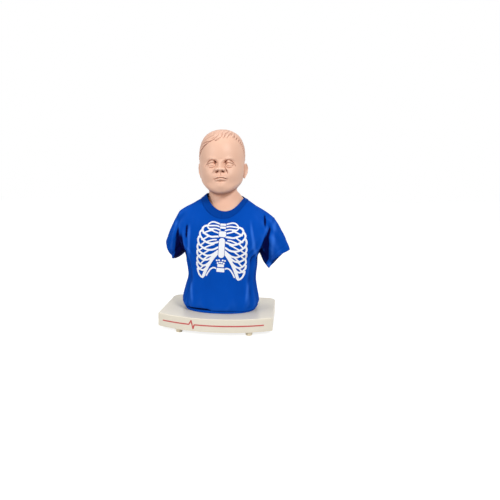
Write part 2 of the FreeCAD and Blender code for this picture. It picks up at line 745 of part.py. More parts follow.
def hem_ring(side):
    """The sleeve's hem as a function of the angle round it, 0 on its outer top."""
    high = V(HEM_TOP[side][0], 0, HEM_TOP[side][1])
    low = V(HEM_LOW[side][0], 0, HEM_LOW[side][1])
    upward = (high - low) * 0.5
    middle = (high + low) * 0.5
    away = V(upward.z, 0, -upward.x).normalize() * side
    across = away.cross(V(upward).normalize())

    def ring(angle):
        deep = across * (HEM_DEPTH[side] * power(math.sin(angle), 0.9))
        front = -deep.y / HEM_DEPTH[side]
        return middle + upward * power(math.cos(angle), 0.9) + deep - away * (HEM_FRONT_RISE[side] * max(0, front) ** 2)
    return ring


def sleeve_surface(start, end, side):
    """The outside of a sleeve between its seam, at step 0, and its hem, at step 1."""
    def surface(angle, step):
        here = start(angle)
        there = end(angle)
        centre = (here + there) * 0.5 - (start(angle + math.pi) + end(angle + math.pi)) * 0.5
        folds = SLEEVE_PUFF * math.sin(math.pi * min(1.0, max(0.0, step)))
        folds += 2.2 * ease(step, 0.1, 0.9) * math.sin(5 * angle + side)
        return here + (there - here) * step + centre.normalize() * folds
    return surface


def make_sleeve(outer_skin, inner_skin, side):
    end = hem_ring(side)
    outer = sleeve_surface(armhole_ring(outer_skin, side), end, side)
    inner_seam = armhole_ring(inner_skin, side)
    angles = even(48)
    steps = steps_from(0, 1, 10)
    outer_rows = rows_of(outer, angles, steps)
    inner_rows = rows_of(outer, angles, steps, CLOTH)
    inner_rows[0] = [inner_seam(angle) for angle in angles]
    return wall_between(outer_rows, inner_rows)


def collar_surface(angle, step):
    """The rib band of the neck, from its seam at step 0 to the neckline at step 2."""
    table = [SHIRT[-1], between([SHIRT[-1], NECKLINE], 0.5), NECKLINE]
    point = ring_point(between(table, step), angle)
    return point - UP * (point.x * (SHIRT_ROLL + SHOULDER_ROLL + NECK_ROLL * step / 2))


def make_collar():
    angles = SHIRT_ANGLES
    steps = steps_from(0, 2, 6)
    raised = RIB_CLOTH - CLOTH
    outer = rows_of(collar_surface, angles, steps, -raised)
    inner = rows_of(collar_surface, angles, steps, CLOTH)
    last = SHIRT_STEPS[-1]
    for column, angle in enumerate(angles):
        away = outward(shirt_surface, angle, last)
        outer[0][column] = shirt_surface(angle, last) + away * raised
        inner[0][column] = shirt_surface(angle, last) - away * CLOTH
    return wall_between(outer, inner)


# Rib cage print, across from its own middle line and up from the top of the base
PRINT_X = 11.0
PRINT_TURN = 0.05
PRINT_MIDDLE_Z = 202.0
PRINT_DROP = 3.0
RIB_WIDTH = 5.2
BACK_RIB_WIDTH = 3.8
FRONT_RIBS = [
    [(10, 281), (18, 282), (27, 286), (37, 284), (46, 273), (43, 261), (30, 256), (12, 250)],
    [(48, 268), (57, 265), (62, 257), (58, 247), (48, 241), (34, 236), (22, 237), (9, 238)],
    [(64, 254), (69, 246), (68, 237), (60, 227), (50, 220), (38, 216), (27, 217), (10, 222)],
    [(71, 234), (74, 224), (70, 212), (61, 204), (51, 198), (38, 196), (25, 198), (10, 206)],
    [(73, 211), (75, 202), (70, 191), (58, 183), (45, 178), (32, 180), (22, 186), (11, 195)],
    [(75, 190), (74, 180), (68, 172), (56, 165), (44, 165), (34, 170), (22, 181)],
    [(73, 171), (74, 161), (65, 150), (55, 146), (44, 150), (31, 162)],
    [(75, 153), (73, 143), (64, 134), (54, 132), (42, 141)],
    [(72, 134), (69, 123), (63, 114), (54, 110), (49, 122)],
]
ARCH = [(11, 190), (24, 173), (32, 160), (41, 143), (48, 126), (52, 115)]
ARCH_WIDTH = 8.0
LOW_ARCH = [(10, 139), (20, 143), (30, 138), (37, 128), (43, 117)]
BACK_RIBS = [
    [(8, 272), (20, 276), (44, 275)], [(8, 261), (22, 266), (44, 266)], [(30, 257), (46, 251), (59, 245)],
    [(18, 228), (28, 227), (44, 221)], [(42, 237), (52, 230), (62, 225)], [(24, 214), (37, 209), (53, 201)],
    [(51, 221), (58, 214), (66, 207)], [(35, 197), (45, 190), (56, 182)], [(56, 202), (62, 197), (72, 191)],
    [(36, 180), (46, 172), (56, 164)], [(58, 184), (64, 178), (72, 172)], [(48, 166), (56, 158), (64, 149)],
    [(50, 148), (58, 141), (66, 132)],
]
PRINT_PLANE_Y = -150.0
PRINT_REACH = 130.0
PRINT_LIFT = 0.8
PRINT_FIELD = (-78.0, 98.0, 98.0, 286.0)


def print_point(x, z):
    """A place of the print on a plane before the chest, with the print's slight turn."""
    high = z - PRINT_DROP - PRINT_MIDDLE_Z
    return V(PRINT_X + x * math.cos(PRINT_TURN) + high * math.sin(PRINT_TURN), PRINT_PLANE_Y,
             PRINT_MIDDLE_Z + high * math.cos(PRINT_TURN) - x * math.sin(PRINT_TURN))


def band(points, width):
    """A flat ribbon along a smooth line through points across and up."""
    line = Part.BSplineCurve()
    line.interpolate([print_point(x, z) for x, z in points])
    count = 13
    first, last = line.FirstParameter, line.LastParameter
    edges = []
    for side in (-1, 1):
        border = []
        for k in range(count):
            at = first + (last - first) * k / (count - 1)
            tangent = V(*line.tangent(at)[0])
            border.append(line.value(at) + V(tangent.z, 0, -tangent.x) * (side * width / 2))
        edge = Part.BSplineCurve()
        edge.interpolate(border)
        edges.append((edge.toShape(), border))
    (low, low_points), (high, high_points) = edges
    caps = [Part.makeLine(low_points[0], high_points[0]), Part.makeLine(low_points[-1], high_points[-1])]
    return Part.Face(Part.Wire(Part.__sortEdges__([low, high] + caps)))


def plate(corners):
    """A flat field with straight sides."""
    points = [print_point(x, z) for x, z in corners]
    return Part.Face(Part.makePolygon(points + points[:1]))


def rib_fields():
    """The flat fields of the print: ribs, breastbone, backbone and the arch below it."""
    fields = []
    for hand in (-1, 1):
        lines = [(line, RIB_WIDTH) for line in FRONT_RIBS] + [(line, BACK_RIB_WIDTH) for line in BACK_RIBS]
        for line, width in lines + [(ARCH, ARCH_WIDTH), (LOW_ARCH, BACK_RIB_WIDTH)]:
            fields.append(band([(hand * x, z) for x, z in line], width))
    fields.append(plate([(-9, 260), (9, 260), (10, 251), (7, 242), (-7, 242), (-10, 251)]))
    fields.append(plate([(-7, 238), (7, 238), (10, 228), (8, 205), (9, 185), (5, 173), (-5, 173), (-9, 185),
                         (-8, 205), (-10, 228)]))
    for level in (131, 145, 159):
        fields.append(plate([(-11, level), (11, level), (9, level + 5), (11, level + 10), (-11, level + 10),
                             (-9, level + 5)]))
    fields.append(plate([(-4, 131), (4, 131), (4, 175), (-4, 175)]))
    for level in (264, 273):
        fields.append(plate([(-8, level), (8, level), (8, level + 6), (-8, level + 6)]))
    return fields


def print_patch(lift):
    """The shirt's front where the print lies, raised by a small lift."""
    left, right, low, high = PRINT_FIELD
    count = 15
    grid = []
    for column in range(count):
        x = left + (right - left) * column / (count - 1)
        row = []
        for line in range(count):
            z = low + (high - low) * line / (count - 1)
            angle, step = place_on(shirt_surface, V(1, 0, 0), x, z, x / 110, 16 * z / 330)
            point = shirt_surface(angle, step) + outward(shirt_surface, angle, step) * lift
            row.append(V(x, point.y, z))
        grid.append(row)
    patch = Part.BSplineSurface()
    patch.interpolate(grid)
    return patch.toShape()


def make_print():
    """A thin layer of ink on the shirt's front."""
    low = print_patch(PRINT_LIFT)
    high = print_patch(PRINT_LIFT + PRINT_THICKNESS)

    def in_order(face):
        return sorted(face.Edges, key=lambda edge: (round(edge.CenterOfMass.x), round(edge.CenterOfMass.z)))
    sides = [Part.makeRuledSurface(a, b) for a, b in zip(in_order(low), in_order(high))]
    layer = solid_of([low, high] + sides)
    fields = rib_fields()
    for field in fields:
        if field.normalAt(0, 0).y < 0:
            field.reverse()
    cage = Part.makeShell(fields[0].multiFuse(fields[1:]).Faces).removeSplitter()
    inks = [layer.common(field.extrude(V(0, PRINT_REACH, 0))) for field in cage.Faces]
    return Part.makeCompound([solid for ink in inks for solid in ink.Solids])


def housing_block(inset, low, height):
    """A full block in the plan of the housing, its outline moved in by the inset."""
    half = base_half - inset
    rear = base_rear - inset
    radius = bow_radius - inset
    centre_y = front_y + bow_radius
    side_y = centre_y - math.sqrt(radius ** 2 - half ** 2)
    left_front = V(base_x - half, side_y, low)
    right_front = V(base_x + half, side_y, low)
    right_rear = V(base_x + half, rear, low)
    left_rear = V(base_x - half, rear, low)
    bow = Part.Arc(left_front, V(base_x, centre_y - radius, low), right_front)
    edges = [bow.toShape(), Part.makeLine(right_front, right_rear), Part.makeLine(right_rear, left_rear),
             Part.makeLine(left_rear, left_front)]
    block = Part.Face(Part.Wire(edges)).extrude(UP * height)
    for y, corner in ((rear, COVER_REAR_CORNER), (side_y, COVER_FRONT_CORNER)):
        rounding = max(0.5, corner - inset)
        upright = [edge for edge in block.Edges if abs(edge.CenterOfMass.y - y) < 0.01
                   and abs(abs(edge.CenterOfMass.x - base_x) - half) < 0.01
                   and abs(edge.CenterOfMass.z - low - height / 2) < 0.01]
        block = block.makeFillet(rounding, upright)
    return block


def bow_y(x):
    """Where the front of the housing lies at a place across it, from the housing's middle."""
    return front_y + bow_radius - math.sqrt(bow_radius ** 2 - x ** 2)


def foot_places():
    """Under the housing, by name."""
    front_spread = base_half - FRONT_FOOT_INSET
    rear_spread = base_half - REAR_FOOT_INSET
    front = bow_y(front_spread) + FOOT_SETBACK
    rear = base_rear - FOOT_SETBACK
    return {
        "foot_front_left": V(base_x - front_spread, front, 0),
        "foot_front_right": V(base_x + front_spread, front, 0),
        "foot_rear_left": V(base_x - rear_spread, rear, 0),
        "foot_rear_right": V(base_x + rear_spread, rear, 0),
    }


def boss_places():
    """Where the bottom plate is screwed to the cover."""
    side = base_half - BOSS_INSET
    rear = base_rear - BOSS_INSET
    front = bow_y(side) + BOSS_INSET
    places = [V(base_x - side, front, 0), V(base_x + side, front, 0), V(base_x, front_y + BOSS_INSET, 0)]
    return places + [V(base_x - side, rear, 0), V(base_x + side, rear, 0), V(base_x, rear, 0)]


board_x = base_x + BOARD_SHIFT_X
board_rear = inner_rear - BOARD_REAR_GAP
board_low = plate_top + STANDOFF_HEIGHT
board_top = board_low + BOARD_THICKNESS
usb_x = board_x + USB_SHIFT_X
switch_x = base_x + SWITCH_SHIFT_X
jack_x = base_x + JACK_SHIFT_X
panel_z = cover_bottom + COVER_HEIGHT / 2
pivot = V(switch_x, base_rear - ROCKER_PIVOT_DEPTH, panel_z)
BACK = V(0, 1, 0)


def middle_box(width, depth, height, x, y, z):
    """A box centred across and up on a place, running back from it."""
    return Part.makeBox(width, depth, height, V(x - width / 2, y, z - height / 2))


def make_cover():
    """The moulded housing: a bowed shell with screw bosses, open below."""
    block = housing_block(0, cover_bottom, COVER_HEIGHT)
    top_edges = [edge for edge in block.Edges if abs(edge.BoundBox.ZMin - base_top) < 0.01]
    block = block.makeFillet(COVER_TOP_EDGE, top_edges)
    cover = block.cut(housing_block(COVER_WALL, cover_bottom - 1, COVER_HEIGHT - COVER_WALL + 1))
    bosses = [cylinder(BOSS_RADIUS, cavity_top - plate_top, V(place.x, place.y, plate_top))
              for place in boss_places()]
    cover = cover.fuse(bosses)
    cuts = [cylinder(SCREW_RADIUS + THREAD_GAP, SCREW_LENGTH, V(place.x, place.y, plate_top))
            for place in boss_places()]
    for place in flange_places():
        cuts.append(cylinder(SCREW_RADIUS + SCREW_HOLE_GAP, COVER_WALL + 2, BODY + place - UP * (COVER_WALL + 1)))
    cuts.append(cylinder(CABLE_HOLE_RADIUS, COVER_WALL + 2, BODY - UP * (COVER_WALL + 1)))
    through = COVER_WALL + 2
    cuts.append(middle_box(USB_WIDTH + 2 * FIT_GAP, through, USB_HEIGHT + 2 * FIT_GAP, usb_x, inner_rear - 1,
                           board_top + USB_HEIGHT / 2))
    cuts.append(middle_box(SWITCH_WIDTH + 2 * FIT_GAP, through, SWITCH_HEIGHT + 2 * FIT_GAP, switch_x,
                           inner_rear - 1, panel_z))
    cuts.append(cylinder(JACK_RADIUS + SCREW_HOLE_GAP, through, V(jack_x, inner_rear - 1, panel_z), BACK))
    return cover.cut(Part.makeCompound(cuts))


def make_plate():
    """The bottom plate, let into the cover, with bosses for the feet and standoffs for the board."""
    plate_block = housing_block(COVER_WALL + FIT_GAP, cover_bottom, PLATE_THICKNESS)
    posts = [cylinder(BOSS_RADIUS, FOOT_BOSS_HEIGHT, V(place.x, place.y, plate_top))
             for place in foot_places().values()]
    posts += [cylinder(STANDOFF_RADIUS, STANDOFF_HEIGHT, V(place.x, place.y, plate_top))
              for place in board_places()]
    cuts = [cylinder(SCREW_RADIUS + THREAD_GAP, PLATE_THICKNESS + FOOT_BOSS_HEIGHT - 1,
                     V(place.x, place.y, cover_bottom)) for place in foot_places().values()]
    cuts += [cylinder(SCREW_RADIUS + SCREW_HOLE_GAP, PLATE_THICKNESS, V(place.x, place.y, cover_bottom))
             for place in boss_places()]
    cuts += [cylinder(SCREW_RADIUS + THREAD_GAP, STANDOFF_HEIGHT, V(place.x, place.y, plate_top))
             for place in board_places()]
    return plate_block.fuse(posts).cut(Part.makeCompound(cuts))


def make_foot(place):
    """A tapered rubber foot with a recess for its screw."""
    foot = Part.makeCone(FOOT_TIP_RADIUS, FOOT_TOP_RADIUS, FOOT_HEIGHT, place, UP)
    foot = foot.makeFillet(1.0, [edge for edge in foot.Edges if edge.BoundBox.ZMax < 0.01])
    recess = cylinder(FOOT_RECESS_RADIUS, FOOT_RECESS_DEPTH, place)
    hole = cylinder(SCREW_RADIUS + SCREW_HOLE_GAP, FOOT_HEIGHT, place)
    return foot.cut(recess).cut(hole)


def board_places():
    """The board's four screw holes."""
    wide = BOARD_LENGTH / 2 - BOARD_HOLE_INSET
    front = board_rear - BOARD_DEPTH + BOARD_HOLE_INSET
    rear = board_rear - BOARD_HOLE_INSET
    return [V(board_x + side * wide, y, 0) for side in (-1, 1) for y in (front, rear)]


def make_board():
    board = Part.makeBox(BOARD_LENGTH, BOARD_DEPTH, BOARD_THICKNESS,
                         V(board_x - BOARD_LENGTH / 2, board_rear - BOARD_DEPTH, board_low))
    holes = [cylinder(SCREW_RADIUS + SCREW_HOLE_GAP, BOARD_THICKNESS, V(place.x, place.y, board_low))
             for place in board_places()]
    return board.cut(Part.makeCompound(holes))


# Parts soldered on the board: across and along from its middle, width, depth and height
CHIPS = [(-8, -4, 14, 14, 1.6), (16, -14, 9, 6, 1.4), (-32, 10, 10, 12, 4.5), (-30, -18, 24, 6, 6.5),
         (8, -24, 24, 6, 6.5), (40, -18, 12, 8, 3.0)]
CAPACITORS = [(-16, 22, 4.0, 9.0), (-4, 22, 4.0, 9.0)]


def make_board_parts():
    """Chips, sockets and capacitors, as separate solids."""
    middle = V(board_x, board_rear - BOARD_DEPTH / 2, board_top)
    solids = [Part.makeBox(wide, deep, high, middle + V(x - wide / 2, y - deep / 2, 0))
              for x, y, wide, deep, high in CHIPS]
    solids += [cylinder(radius, high, middle + V(x, y, 0)) for x, y, radius, high in CAPACITORS]
    return Part.makeCompound(solids)


def make_usb():
    """The square data socket, flush with the back of the housing."""
    y = base_rear - USB_LENGTH
    z = board_top + USB_HEIGHT / 2
    shell = middle_box(USB_WIDTH, USB_LENGTH, USB_HEIGHT, usb_x, y, z)
    room = middle_box(USB_WIDTH - 2 * USB_WALL, USB_LENGTH - USB_WALL, USB_HEIGHT - 2 * USB_WALL, usb_x,
                      y + USB_WALL, z)
    tongue = middle_box(USB_WIDTH / 2, USB_LENGTH * 0.7, USB_HEIGHT * 0.3, usb_x, y + USB_WALL, z)
    return shell.cut(room).fuse(tongue)


def make_jack():
    """The round power socket, its flange outside the wall."""
    wall = V(jack_x, base_rear, panel_z)
    flange = cylinder(JACK_FLANGE_RADIUS, JACK_FLANGE_HEIGHT, wall, BACK)
    barrel = cylinder(JACK_RADIUS, JACK_BODY_LENGTH, wall - BACK * JACK_BODY_LENGTH, BACK)
    tail = middle_box(JACK_RADIUS * 1.2, 4, JACK_RADIUS * 0.4, jack_x, base_rear - JACK_BODY_LENGTH - 4, panel_z)
    mouth = wall + BACK * JACK_FLANGE_HEIGHT
    bore = cylinder(JACK_BORE_RADIUS, JACK_BORE_DEPTH, mouth - BACK * JACK_BORE_DEPTH, BACK)
    pin = cylinder(JACK_PIN_RADIUS, JACK_BORE_DEPTH - 1, mouth - BACK * JACK_BORE_DEPTH, BACK)
    return flange.fuse([barrel, tail]).cut(bore).fuse(pin)


def make_jack_nut():
    """The nut that holds the power socket from inside."""
    at = V(jack_x, inner_rear - JACK_NUT_HEIGHT, panel_z)
    nut = hexagon(JACK_NUT_ACROSS, JACK_NUT_HEIGHT, at, BACK)
    return nut.cut(cylinder(JACK_RADIUS + THREAD_GAP, JACK_NUT_HEIGHT, at, BACK))


def make_switch_body():
    """The frame of the power switch, snapped into the wall, with its well, pin holes and two blades."""
    bezel = middle_box(SWITCH_WIDTH + 2 * SWITCH_BEZEL, SWITCH_BEZEL_DEPTH, SWITCH_HEIGHT + 2 * SWITCH_BEZEL,
                       switch_x, base_rear, panel_z)
    bezel = bezel.makeFillet(SWITCH_BEZEL_DEPTH * 0.4, [edge for edge in bezel.Edges
                                                       if edge.BoundBox.YMin > base_rear + 0.01])
    body = middle_box(SWITCH_WIDTH, SWITCH_DEPTH, SWITCH_HEIGHT, switch_x, base_rear - SWITCH_DEPTH, panel_z)
    well = middle_box(SWITCH_WIDTH - 2 * SWITCH_WALL, SWITCH_WELL_DEPTH + SWITCH_BEZEL_DEPTH + 1,
                      SWITCH_HEIGHT - 2 * SWITCH_WALL, switch_x, base_rear - SWITCH_WELL_DEPTH, panel_z)
    pin_hole = cylinder(ROCKER_PIN_RADIUS + ROCKER_PIN_GAP, SWITCH_WIDTH,
                        pivot - V(SWITCH_WIDTH / 2, 0, 0), V(1, 0, 0))
    blades = [middle_box(4.8, 6, 0.8, switch_x, base_rear - SWITCH_DEPTH - 6, panel_z + side * 4)
              for side in (-1, 1)]
    return bezel.fuse(body).cut(well).cut(pin_hole).fuse(blades)


def make_rocker():
    """The rocker of the power switch, on its two pins, tilted to off."""
    half_width = SWITCH_WIDTH / 2 - SWITCH_WALL - ROCKER_SIDE_GAP
    half_length = SWITCH_HEIGHT / 2 - SWITCH_WALL - ROCKER_END_GAP
    y = base_rear
    keel = ROCKER_PIVOT_DEPTH + ROCKER_KEEL
    outline = [V(0, y - 1, -half_length), V(0, y + ROCKER_STAND, -half_length),
               V(0, y + ROCKER_STAND - ROCKER_DIP, 0), V(0, y + ROCKER_STAND, half_length),
               V(0, y - 1, half_length), V(0, y - keel, half_length / 2), V(0, y - keel, -half_length / 2)]
    profile = Part.Face(Part.makePolygon(outline + outline[:1]))
    profile.translate(V(switch_x - half_width, 0, panel_z))
    rocker = profile.extrude(V(2 * half_width, 0, 0))
    pin_half = SWITCH_WIDTH / 2 - SWITCH_WALL * 0.2
    pin = cylinder(ROCKER_PIN_RADIUS, 2 * pin_half, pivot - V(pin_half, 0, 0), V(1, 0, 0))
    rocker = rocker.fuse(pin)
    rocker.rotate(pivot, V(1, 0, 0), -ROCKER_TILT)
    return rocker


# Heartbeat line: across and up from its own level
TRACE_LEVEL = 20.0
TRACE_LINE = [(-158, 0), (-71, 0), (-64, 0.5), (-58, -0.5), (-54, 0), (150, 0)]


def make_trace():
    """A thin line of ink round the bowed front, with one heartbeat in it."""
    points = [V(base_x + x, front_y - 5, cover_bottom + TRACE_LEVEL + share * TRACE_HEIGHT)
              for x, share in TRACE_LINE]
    strokes = []
    for start, end in zip(points, points[1:]):
        along = (end - start).normalize()
        side = V(along.z, 0, -along.x) * (TRACE_WIDTH / 2)
        strokes.append(Part.Face(Part.makePolygon([start - side, end - side, end + side, start + side,
                                                   start - side])).extrude(BACK * (BASE_BOW + 10)))
    strokes += [cylinder(TRACE_WIDTH / 2, BASE_BOW + 10, point, BACK) for point in points[1:-1]]
    centre = V(base_x, front_y + bow_radius, cover_bottom)
    ink = cylinder(bow_radius + TRACE_LIFT + TRACE_THICKNESS, COVER_HEIGHT, centre)
    ink = ink.cut(cylinder(bow_radius + TRACE_LIFT, COVER_HEIGHT, centre))
    return strokes[0].multiFuse(strokes[1:]).removeSplitter().common(ink)


def make_bolt():
    """The hexagon bolt that clamps the neck plug on the core."""
    seat = V(0, NECK_AXIS_Y, NECK_TOP_HEIGHT + PLUG_HEIGHT)
    length = PLUG_HEIGHT + CORE_WALL + WASHER_HEIGHT + NUT_HEIGHT + 1
    shank = cylinder(BOLT_RADIUS, length, seat - UP * length)
    return hexagon(BOLT_HEAD_ACROSS, BOLT_HEAD_HEIGHT, seat).fuse(shank)


def make_washer():
    at = V(0, NECK_AXIS_Y, NECK_TOP_HEIGHT - CORE_WALL - WASHER_HEIGHT)
    return cylinder(WASHER_RADIUS, WASHER_HEIGHT, at).cut(cylinder(BOLT_RADIUS + SCREW_HOLE_GAP, WASHER_HEIGHT, at))


def make_nut():
    at = V(0, NECK_AXIS_Y, NECK_TOP_HEIGHT - CORE_WALL - WASHER_HEIGHT - NUT_HEIGHT)
    return hexagon(BOLT_HEAD_ACROSS, NUT_HEIGHT, at).cut(cylinder(BOLT_RADIUS + THREAD_GAP, NUT_HEIGHT, at))


def make_shirt():
    """The shirt's body and its two sleeves."""
    outer = rows_of(shirt_surface, SHIRT_ANGLES, SHIRT_STEPS)
    inner = rows_of(shirt_surface, SHIRT_ANGLES, SHIRT_STEPS, CLOTH, low_plane=UP)
    body = wall_between(outer, inner).cut(beyond_armhole(-1)).cut(beyond_armhole(1))
    outer_skin = skin_face(outer)
    inner_skin = skin_face(inner)
    return body, make_sleeve(outer_skin, inner_skin, -1), make_sleeve(outer_skin, inner_skin, 1)


os.makedirs("parts", exist_ok=True)

save("base_cover", make_cover())
save("base_plate", make_plate())
for name, place in foot_places().items():
    save(name, make_foot(place))
save("foot_screws", Part.makeCompound([pan_screw(place + UP * FOOT_RECESS_DEPTH, UP, SCREW_LENGTH)
                                       for place in foot_places().values()]))
save("plate_screws", Part.makeCompound([pan_screw(place + UP * cover_bottom, UP, SCREW_LENGTH)
                                        for place in boss_places()]))
save("core_screws", Part.makeCompound([pan_screw(BODY + place - UP * COVER_WALL, UP,
                                                 COVER_WALL + FLANGE_HEIGHT - 2)
                                       for place in flange_places()]))
save("board_screws", Part.makeCompound([pan_screw(place + UP * board_top, -UP,
                                                  BOARD_THICKNESS + STANDOFF_HEIGHT - 1)
                                        for place in board_places()]))
save("main_board", make_board())
save("board_parts", make_board_parts())
save("usb_socket", make_usb())
save("power_jack", make_jack())
save("power_jack_nut", make_jack_nut())
save("switch_body", make_switch_body())
save("switch_rocker", make_rocker())
save("front_trace", make_trace())


def save_on_body(name, shape):
    """Write a piece that was made from the body's axis and the top of the base."""
    shape.translate(BODY)
    save(name, shape)


shirt_body, sleeve_left, sleeve_right = make_shirt()
neck_room = block_of(rows_of(head_skin, front_dense(72), steps_from(0, 20, 30), HEAD_WALL + FIT_GAP,
                             low_plane=seam_plane))
save_on_body("torso_core", make_core())
save_on_body("torso_skin", make_skin())
save_on_body("head", make_head())
save_on_body("neck_plug", make_plug(neck_room))
save_on_body("neck_bolt", make_bolt())
save_on_body("neck_washer", make_washer())
save_on_body("neck_nut", make_nut())
for name, site in PAD_SITES.items():
    save_on_body(name, make_pad(site))
save_on_body("shirt_body", shirt_body)
save_on_body("shirt_sleeve_left", sleeve_left)
save_on_body("shirt_sleeve_right", sleeve_right)
save_on_body("shirt_collar", make_collar())
save_on_body("shirt_print", make_print())
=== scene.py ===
import math

import bmesh
import bpy
import numpy as np
from mathutils import Matrix, Vector, noise
from mathutils.bvhtree import BVHTree


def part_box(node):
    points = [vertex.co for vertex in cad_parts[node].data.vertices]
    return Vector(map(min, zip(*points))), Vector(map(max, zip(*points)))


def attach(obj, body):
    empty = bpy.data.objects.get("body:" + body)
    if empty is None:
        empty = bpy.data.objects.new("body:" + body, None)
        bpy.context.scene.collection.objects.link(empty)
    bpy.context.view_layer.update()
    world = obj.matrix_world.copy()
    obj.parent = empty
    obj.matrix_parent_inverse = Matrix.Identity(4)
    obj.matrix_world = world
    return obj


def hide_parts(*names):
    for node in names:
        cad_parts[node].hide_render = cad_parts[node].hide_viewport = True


# Looks of the auscultation manikin: vinyl head, jersey shirt with its print, moulded base.
# Sizes are in millimetres in the part's frame until a mesh is made, which is in metres.
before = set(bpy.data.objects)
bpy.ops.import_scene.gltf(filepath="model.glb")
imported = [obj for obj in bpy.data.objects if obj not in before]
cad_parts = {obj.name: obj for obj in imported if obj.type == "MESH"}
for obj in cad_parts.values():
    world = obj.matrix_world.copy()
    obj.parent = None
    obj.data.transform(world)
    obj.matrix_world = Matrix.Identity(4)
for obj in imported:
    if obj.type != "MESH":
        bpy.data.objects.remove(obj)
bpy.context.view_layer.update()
BODY_NAME = "manikin"
MM = 0.001

# Places that the shapes below are measured from
NECK_AXIS_Y = 13.0
washer_low, washer_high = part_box("neck_washer")
core_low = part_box("torso_core")[0]
BODY = np.array([(washer_low[0] + washer_high[0]) / 2 / MM,
                 (washer_low[1] + washer_high[1]) / 2 / MM - NECK_AXIS_Y,
                 core_low[2] / MM])

# Head
HEAD_TURN = 4.5
EYE_X = 27.5
EYE_Z = 449.4
EYE_HALF = 12.5
LID_ABOVE = 6.0
LID_BELOW = 4.6
CREASE_HALF = 18.0
CREASE_ABOVE = 14.0
BAG_BELOW = 9.0
NOSE_TIP_Z = 434.5
NOSE_REACH = 16.0
MOUTH_Z = 411.6
MOUTH_X = 1.8
MOUTH_HALF = 18.4
CHIN_Z = 386.0
BROW_Z = 470.0
HAIR_RELIEF = 1.7
# Painted shade over the moulded hair, in millimetres of hollow depth
HAIR_SHADE = 0.58
HAIR_FLOW = np.array([0.62, 0.25, -0.78])
FACE_FRONT = (0.1, 0.55)
HEAD_COLUMNS = 300
FACE_ROWS = 140
END_ROWS = 30

# Places in the head's table of sections
TURN_STEPS = (2, 6)
FACE_STEP = 6.2
FACE_FULL_STEP = 7.5
SHADE_STEP = 6.3
HAIR_STEPS = (7, 8.5)
CROWN_STEP = 16.2
TOP_STEP = 19.97
BARE_TOP = (19.0, 19.8)

# Shirt
CLOTH = 1.4
SHIRT_ROLL = 0.026
SHOULDER_ROLL = 0.022
NECK_ROLL = 0.07
SHIRT_SWAY = 1.6
TUCK_DROP = 3.2
ARMHOLE_SINK = 2.5
# Strength of the painted shade along the armhole seams, in the pockets before the armpits and under the
# blouse at the hem
ARMHOLE_PAINTED_SHADE = 4.0
# Reach and height of the painted shadow in the pocket before each armpit, and place of the painted
# highlight beyond it
POCKET_REACH = {-1: 30, 1: 27}
POCKET_HEIGHT = {-1: 94, 1: 92}
POCKET_RIDGE = 11.0
SEAM_EDGE = {-1: 10, 1: 3}
SHIRT_COLUMNS = 264
SHIRT_ROWS = 110
HEM_ROWS = 32
SLEEVE_COLUMNS = 132
SLEEVE_ROWS = 44
SLEEVE_PUFF = 5.0
SLEEVE_WAVE = 1.6
SLEEVE_HOLLOW = {-1: (2.15, 17), 1: (2.10, 17)}
SLEEVE_RIDGE = 4.5
SLEEVE_SLIT = 3.5
RIDGE_ABOVE = 0.85
SLIT_ABOVE = 0.38
SLIT_STEP = 0.18
STITCH_STEP = 0.81
COLLAR_COLUMNS = 240
COLLAR_ROWS = 22
RIB_RAISE = 0.6
HOLLOW_PASSES = 16
ARMPIT_HEIGHT = {-1: 169.5, 1: 174.5}
ARMPIT_STEPS = np.linspace(4, 12, 4001)
SHOULDER = {-1: (-134, 0, 304), 1: (160.8, 0, 286.6)}
HEM_TOP = {-1: (-178.5, 0, 213), 1: (211.7, 0, 188)}
HEM_LOW = {-1: (-158, 0, 151), 1: (152.6, 0, 131)}
HEM_DEPTH = {-1: 42, 1: 37}
HEM_SQUARE = 0.9
HEM_FRONT_RISE = {-1: 4, 1: 12}

# Metres of cloth a radian round the body, a sleeve and the neck, and a step along the last two
BODY_ROUND = 0.11
SLEEVE_ROUND = 0.05
NECK_ROUND = 0.075
SLEEVE_LONG = 0.09
BAND_LONG = 0.012

# Places in the shirt's table of sections
HEM_STEP = 3.0
BLOUSE_SHADOW_STEP = 2.1
HEM_END_STEP = 4.5
SEAM_STEP = 16.0

# Soft spans: where each starts, is full, starts to fade and ends. Angles round the body, then heights
TUCK_SPAN = (-0.18, -0.06, 0.9, 1.4)
LIFT_SPAN = (-1.15, -0.85, -0.22, -0.08)
BLOUSE_SHADOW_SPAN = (-1.1, -0.9, 0.1, 0.9)
SINK_SPAN = (-20, -6, 50, 90)

# Print
PRINT_X = 11.0
PRINT_TURN = 0.05
PRINT_MIDDLE_Z = 202.0
PRINT_DROP = 3.0
PRINT_CELL = 1.0
PRINT_LIFT = 0.35
PRINT_HALF = 82
PRINT_LOW = 104
PRINT_HIGH = 290
RAY_START = -0.3
RIB_WIDTH = 5.6
BACK_RIB_WIDTH = 4.2
PRINT_HALO = 1.3

